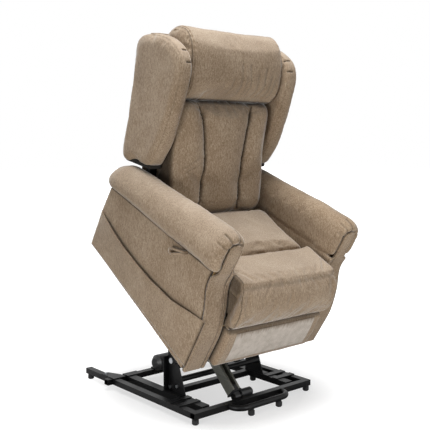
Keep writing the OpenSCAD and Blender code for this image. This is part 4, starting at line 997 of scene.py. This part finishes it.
def back_cushion():
    """Three stuffed channels between two curved seams."""
    low, top = -38.0, 448.0
    xs = np.linspace(-1, 1, 91)
    stations = [(0, 0.9, 0.1), (0.01, 0.93, 0.34), (0.03, 0.96, 0.6), (0.06, 0.985, 0.8), (0.1, 1, 0.93)]
    stations += [(t, 0.985 + 0.01 * math.cos(2 * math.pi * t), 1.0) for t in np.linspace(0.14, 0.9, 70)]
    stations += [(0.94, 0.99, 0.92), (0.965, 0.98, 0.8), (0.985, 0.96, 0.62), (1, 0.93, 0.42)]
    rings = []
    for s, ws, fs in stations:
        u = low + s * (top - low)
        seam = channel_seam(s)
        ring = []
        for x in xs:
            a = abs(x)
            c = a / seam if a < seam else (2 * a - seam - 1) / (1 - seam)
            bulge = max(0.0, 1 - abs(c) ** 2.2) ** 0.7
            ring.append([x * BACK_HALF * ws, 27 + 34 * (1 - fs) + 30 * a ** 7 - 33 * fs * bulge, u])
        ring += [[BACK_HALF * ws, v, u] for v in (80, 105, 130, 155)]
        ring += [[x * BACK_HALF * ws * 0.985, BACK_REAR, u] for x in np.linspace(1, -1, 30)]
        ring += [[-BACK_HALF * ws, v, u] for v in (155, 130, 105, 80)]
        rings.append(ring)
    piece = loft("back_cushion_cover", rings, in_back)
    seams = [in_back([[side * float(channel_seam(s)) * BACK_HALF, 27, low + s * (top - low)]
        for s in np.linspace(0.02, 0.985, 60)]) for side in (-1, 1)]
    stuff(piece, 7.5, 2.6, 10.0, 0.03, seams=seams)
    ripple(piece, 1.6, 100, 2.4)
    # The channel seams, with painted shade along them
    for line in seams:
        sew(piece, line, 8.0, 6.0, 2.8, 19, 28, shade=1.0)
    # A soft crease across the left channel, with painted shade in it
    for a, b in [((-226, 168), (-150, 214)), ((-214, 150), (-168, 176))]:
        sew(piece, in_back([[a[0] + (b[0] - a[0]) * t, 0, a[1] + (b[1] - a[1]) * t]
            for t in np.linspace(0, 1, 12)]), 3.0, 6.0, 0, shade=0.16)
    # Painted shade where the cushion meets the wings and the pillow
    q = back_mm(coords(piece))
    meets_wing = rise(np.abs(q[:, 0]) - 250, 10)
    meets_pillow = rise(q[:, 2] - top + 16, 12)
    paint_shade(piece, 0.85 * np.maximum(meets_wing, meets_pillow))
    finish_soft(piece, "back", ["back_cushion"])

PILLOW = np.array([[0.3, -0.004], [0.1, 0.012], [-0.06, 0.08], [-0.165, 0.2], [-0.205, 0.36],
    [-0.21, 0.52], [-0.18, 0.68], [-0.1, 0.83], [0.04, 0.94], [0.22, 0.992], [0.45, 1], [0.68, 0.95],
    [0.88, 0.8], [0.985, 0.55], [1.0, 0.3], [0.98, 0.05], [0.8, 0.01], [0.55, 0]])


def head_pillow():
    """The roll of the head pillow, its ends closed by sewn caps."""
    low, deep, h = 452.0, 181.0, 288.0
    centre = np.array([72.0, low + h / 2])

    def shrunk(p, s):
        v, u = centre + (p - centre) * s
        return min(v, BACK_REAR), u

    line = spline_points(np.stack([np.minimum(PILLOW[:, 0] * deep, BACK_REAR), low + h * PILLOW[:, 1]], 1),
        6, True)
    line = even_points(line, 6, True)
    ends = [(-1, 0.74), (-0.996, 0.82), (-0.986, 0.9), (-0.97, 0.95), (-0.945, 0.98), (-0.91, 0.995)]
    middle = [(t, 1 - 0.012 * math.cos(math.pi * t / 1.76) ** 2) for t in np.linspace(-0.86, 0.86, 80)]
    rings = [[[t * BACK_HALF, *shrunk(p, s)] for p in line] for t, s in both_ends(ends, middle)]
    piece = loft("head_pillow_cover", rings, in_back)
    around = spline_points(PILLOW[1:14] * [deep, h] + [0, low], 6)
    rims = [in_back([[side * BACK_HALF * 0.955, *shrunk(p, 0.97)] for p in around]) for side in (-1, 1)]
    stuff(piece, 7.0, 2.6, 10.0, 0.035, seams=rims)
    ripple(piece, 1.8, 90, 6.1)
    # The cap seams, with painted shade along them
    for rim in rims:
        sew(piece, rim, 2.4, 4.0, 2.0, 23, 22, shade=0.7)
    # Slack in the cover: long soft folds from the lower seam up the face, with painted shade in them
    for x, lean, length, depth in [(30, -10, 140, 2.4), (78, -10, 140, 3.4), (112, 6, 110, 3.2),
        (142, 20, 130, 3.8), (172, 26, 100, 3.4), (200, 22, 90, 3.0), (-30, 12, 80, 2.2), (52, 4, 90, 2.6)]:
        line = [[x + lean * s + 4 * math.sin(5 * s), 0.0, low + 14 + length * s]
            for s in np.linspace(0, 1, 20)]
        for p in line:
            p[1] = -38 + 30 * ((p[2] - low - h / 2) / (h / 2)) ** 4
        sew(piece, in_back(line), depth, 7.0, 0, shade=0.2)
    # Painted shade under the pillow, along its lower seam
    q = back_mm(coords(piece))
    paint_shade(piece, 0.9 * rise(low + 9 - q[:, 2], 8) * (q[:, 1] < 60))
    finish_soft(piece, "back", ["head_pillow"])

WING = np.array([[0.39, 0.25], [0.257, 0.241], [0.135, 0.232], [0.078, 0.29], [0.024, 0.378],
    [-0.026, 0.51], [-0.064, 0.64], [-0.084, 0.76], [-0.062, 0.845], [0.012, 0.905], [0.108, 0.938],
    [0.216, 0.946], [0.31, 0.932], [0.35, 0.878], [0.37, 0.703], [0.386, 0.46]]) * WING_H
WING_IN, WING_T, WING_FLARE = 263.2, 61.5, 6.0


def wing_x(t, v, u):
    """Across a wing, which stands further out towards its lower end."""
    low = min(1.0, max(0.0, 1 - (u - 165) / 460))
    return WING_IN + t * (WING_T + WING_FLARE * (1 - 2 * v / WING_H) + 17 * low * low * (3 - 2 * low))


def wing(side):
    """A flat outer side, and a boxing round the front gathered over the top."""
    line = even_points(spline_points(WING, 6, True), 6, True)
    centre = np.array([120.0, 430.0])
    span = [(0, 0.95), (0.01, 0.965), (0.035, 0.98), (0.08, 0.992)]
    span += [(t, 1.0 + 0.004 * math.sin(math.pi * t)) for t in np.linspace(0.14, 0.78, 10)]
    span += [(0.84, 0.994), (0.9, 0.982), (0.95, 0.964), (0.985, 0.945), (1, 0.92)]
    rings = [[[side * wing_x(t, *p), *(centre + (p - centre) * s)] for p in line] for t, s in span]
    piece = loft(f"{WORD[side]}_wing_cover", rings, in_back)
    stuff(piece, 7.5, 1.6, 6.0, 0.015, frames=12)
    ripple(piece, 1.4, 130, 4.4 * side)
    front = spline_points(WING[2:12], 8)
    # The front band's seams, with painted shade along them, darker at the left wing's inner edge
    for depth_x, deep, pucker, shade in ((0.93, 1.6, 0.4, 0.2),
        (0.05, 2.4, 0.9, 0.5 if side < 0 else 0.15)):
        sew(piece, in_back([[side * wing_x(depth_x, *p), *p] for p in front]), deep, 4.0, pucker, 26, 18,
            shade=shade)
    # Two pleats over the shoulder, with painted shade in their folds
    for k, wide in ((44, 0.5), (51, 0.55)):
        p = front[k]
        path = [[side * wing_x(t, *p), p[0] - 4 * t, p[1] + 3 * t] for t in np.linspace(0.02, wide, 10)]
        sew(piece, in_back(path), 6.0, 3.6, 0, shade=1.0)
    finish_soft(piece, "back", [f"{WORD[side]}_wing"])
    # Black lining that closes the wing underneath
    under = [[WING_IN + 6, 98], [WING_IN + 68, 98], [WING_IN + 66, 270], [WING_IN + 6, 270]]
    lining = slab(f"{WORD[side]}_wing_lining", even_points(under, 6, True), -12.0, 9.0, 6,
        lambda q, d: [side * q[0], q[1], WING_H * (0.226 + 0.022 * (q[1] - 94) / 188) + d],
        in_back, LINING)
    finish_soft(lining, "back", [], painted_highlight=False)


def outside_back():
    """The closed rear of the back: a bowed board under one cloth panel."""
    board, bow, low, top = 209.1, 900.0, -60.0, 700.0
    half, rear = BACK_HALF, board + 78
    arc = [[x, rear - bow + math.sqrt(bow * bow - x * x)] for x in np.linspace(-half + 4, half - 4, 40)]
    line = [[half, board], [half, arc[-1][1] - 4]] + arc[::-1]
    line += [[-half, arc[0][1] - 4], [-half, board], [-half + 8, board], [-half + 8, board + 37]]
    line += [[half - 8, board + 37], [half - 8, board]]
    stations = [(low, 0.985), (low + 4, 0.997)] + [(u, 1.0) for u in np.linspace(low + 10, top - 14, 60)]
    stations += [(top - 6, 0.997), (top - 1.5, 0.985), (top, 0.97)]
    outline = even_points(line, 7, True)
    rings = [[[p[0] * s, board + (p[1] - board) * s, u] for p in outline] for u, s in stations]
    piece = capped_skin("outside_back_cover", rings, in_back)
    finish_soft(piece, "back", ["outside_back"])
    # The same cloth turns over the top rail, behind the pillow
    over = even_points([[-half + 1, 184], [half - 1, 184]] + arc[::-1], 8, True)
    strip = slab("back_top_strip", over, top + 0.5, top + 8, 3, lambda q, d: [q[0], q[1], d], in_back)
    finish_soft(strip, "back", [], painted_highlight=False)


def rear_valance():
    """The cloth panel that closes the chair's rear between the side panels."""
    line = even_points([[-264.8, 18], [264.8, 18], [264.8, 198], [-264.8, 198]], 12, True)
    piece = slab("rear_valance_cover", line, PANEL_D - 23.5, PANEL_D - 0.5, 5,
        lambda q, d: [q[0], d, q[1]])
    finish_soft(piece, "chair", ["rear_valance"])


# Floor and world
def studio_floor(name):
    """White paper, burnt out to white away from the machine, with its shadow kept
    round the base."""
    material, tree, at = new_material(name)
    path = add(tree, "ShaderNodeLightPath")
    matt = add(tree, "ShaderNodeBsdfDiffuse", {"Color": hex_colour("#DADADA")})
    glow = add(tree, "ShaderNodeEmission", {"Color": (1, 1, 1, 1), "Strength": 1.5})
    away = add(tree, "ShaderNodeVectorMath", {0: at}, operation="LENGTH")
    burnt = add(tree, "ShaderNodeMapRange", {"Value": away.outputs["Value"], "From Min": 0.4,
        "From Max": 0.95, "To Min": 0.42, "To Max": 1.0})
    seen = add(tree, "ShaderNodeMath", {0: path.outputs["Is Camera Ray"], 1: burnt}, operation="MULTIPLY")
    both = add(tree, "ShaderNodeMixShader", {0: seen, 1: matt, 2: glow})
    add(tree, "ShaderNodeOutputMaterial", {"Surface": both})
    return material


def make_floor():
    bpy.ops.mesh.primitive_plane_add(size=60, location=(0, 0, 0))
    floor = bpy.context.object
    floor.name = "pale_floor"
    floor.data.materials.append(studio_floor("white_studio_floor"))


def make_world():
    """A soft light all round, which looks white to the camera and in metal."""
    world = bpy.data.worlds.new("studio")
    bpy.context.scene.world = world
    world.use_nodes = True
    tree = world.node_tree
    tree.nodes.clear()
    path = add(tree, "ShaderNodeLightPath")
    seen = add(tree, "ShaderNodeMath", {0: path.outputs["Is Camera Ray"],
        1: path.outputs["Is Glossy Ray"]}, operation="MAXIMUM")
    backdrop = add(tree, "ShaderNodeMath", {0: seen,
        1: path.outputs["Is Transmission Ray"]}, operation="MAXIMUM")
    soft = add(tree, "ShaderNodeBackground", {"Color": (1, 1, 1, 1), "Strength": 0.12})
    white = add(tree, "ShaderNodeBackground", {"Color": (1, 1, 1, 1), "Strength": 1.0})
    both = add(tree, "ShaderNodeMixShader", {0: backdrop, 1: soft, 2: white})
    add(tree, "ShaderNodeOutputWorld", {"Surface": both})


# The order in which pieces are made
for make in (arm_roll, side_panel, facing):
    for side in (-1, 1):
        make(side)
for make in (pocket, pull_strap, seat_cushion, knee_pad, legrest_pad, patch, back_cushion, head_pillow):
    make()
for side in (-1, 1):
    wing(side)
for make in (outside_back, rear_valance, make_floor, make_world):
    make()
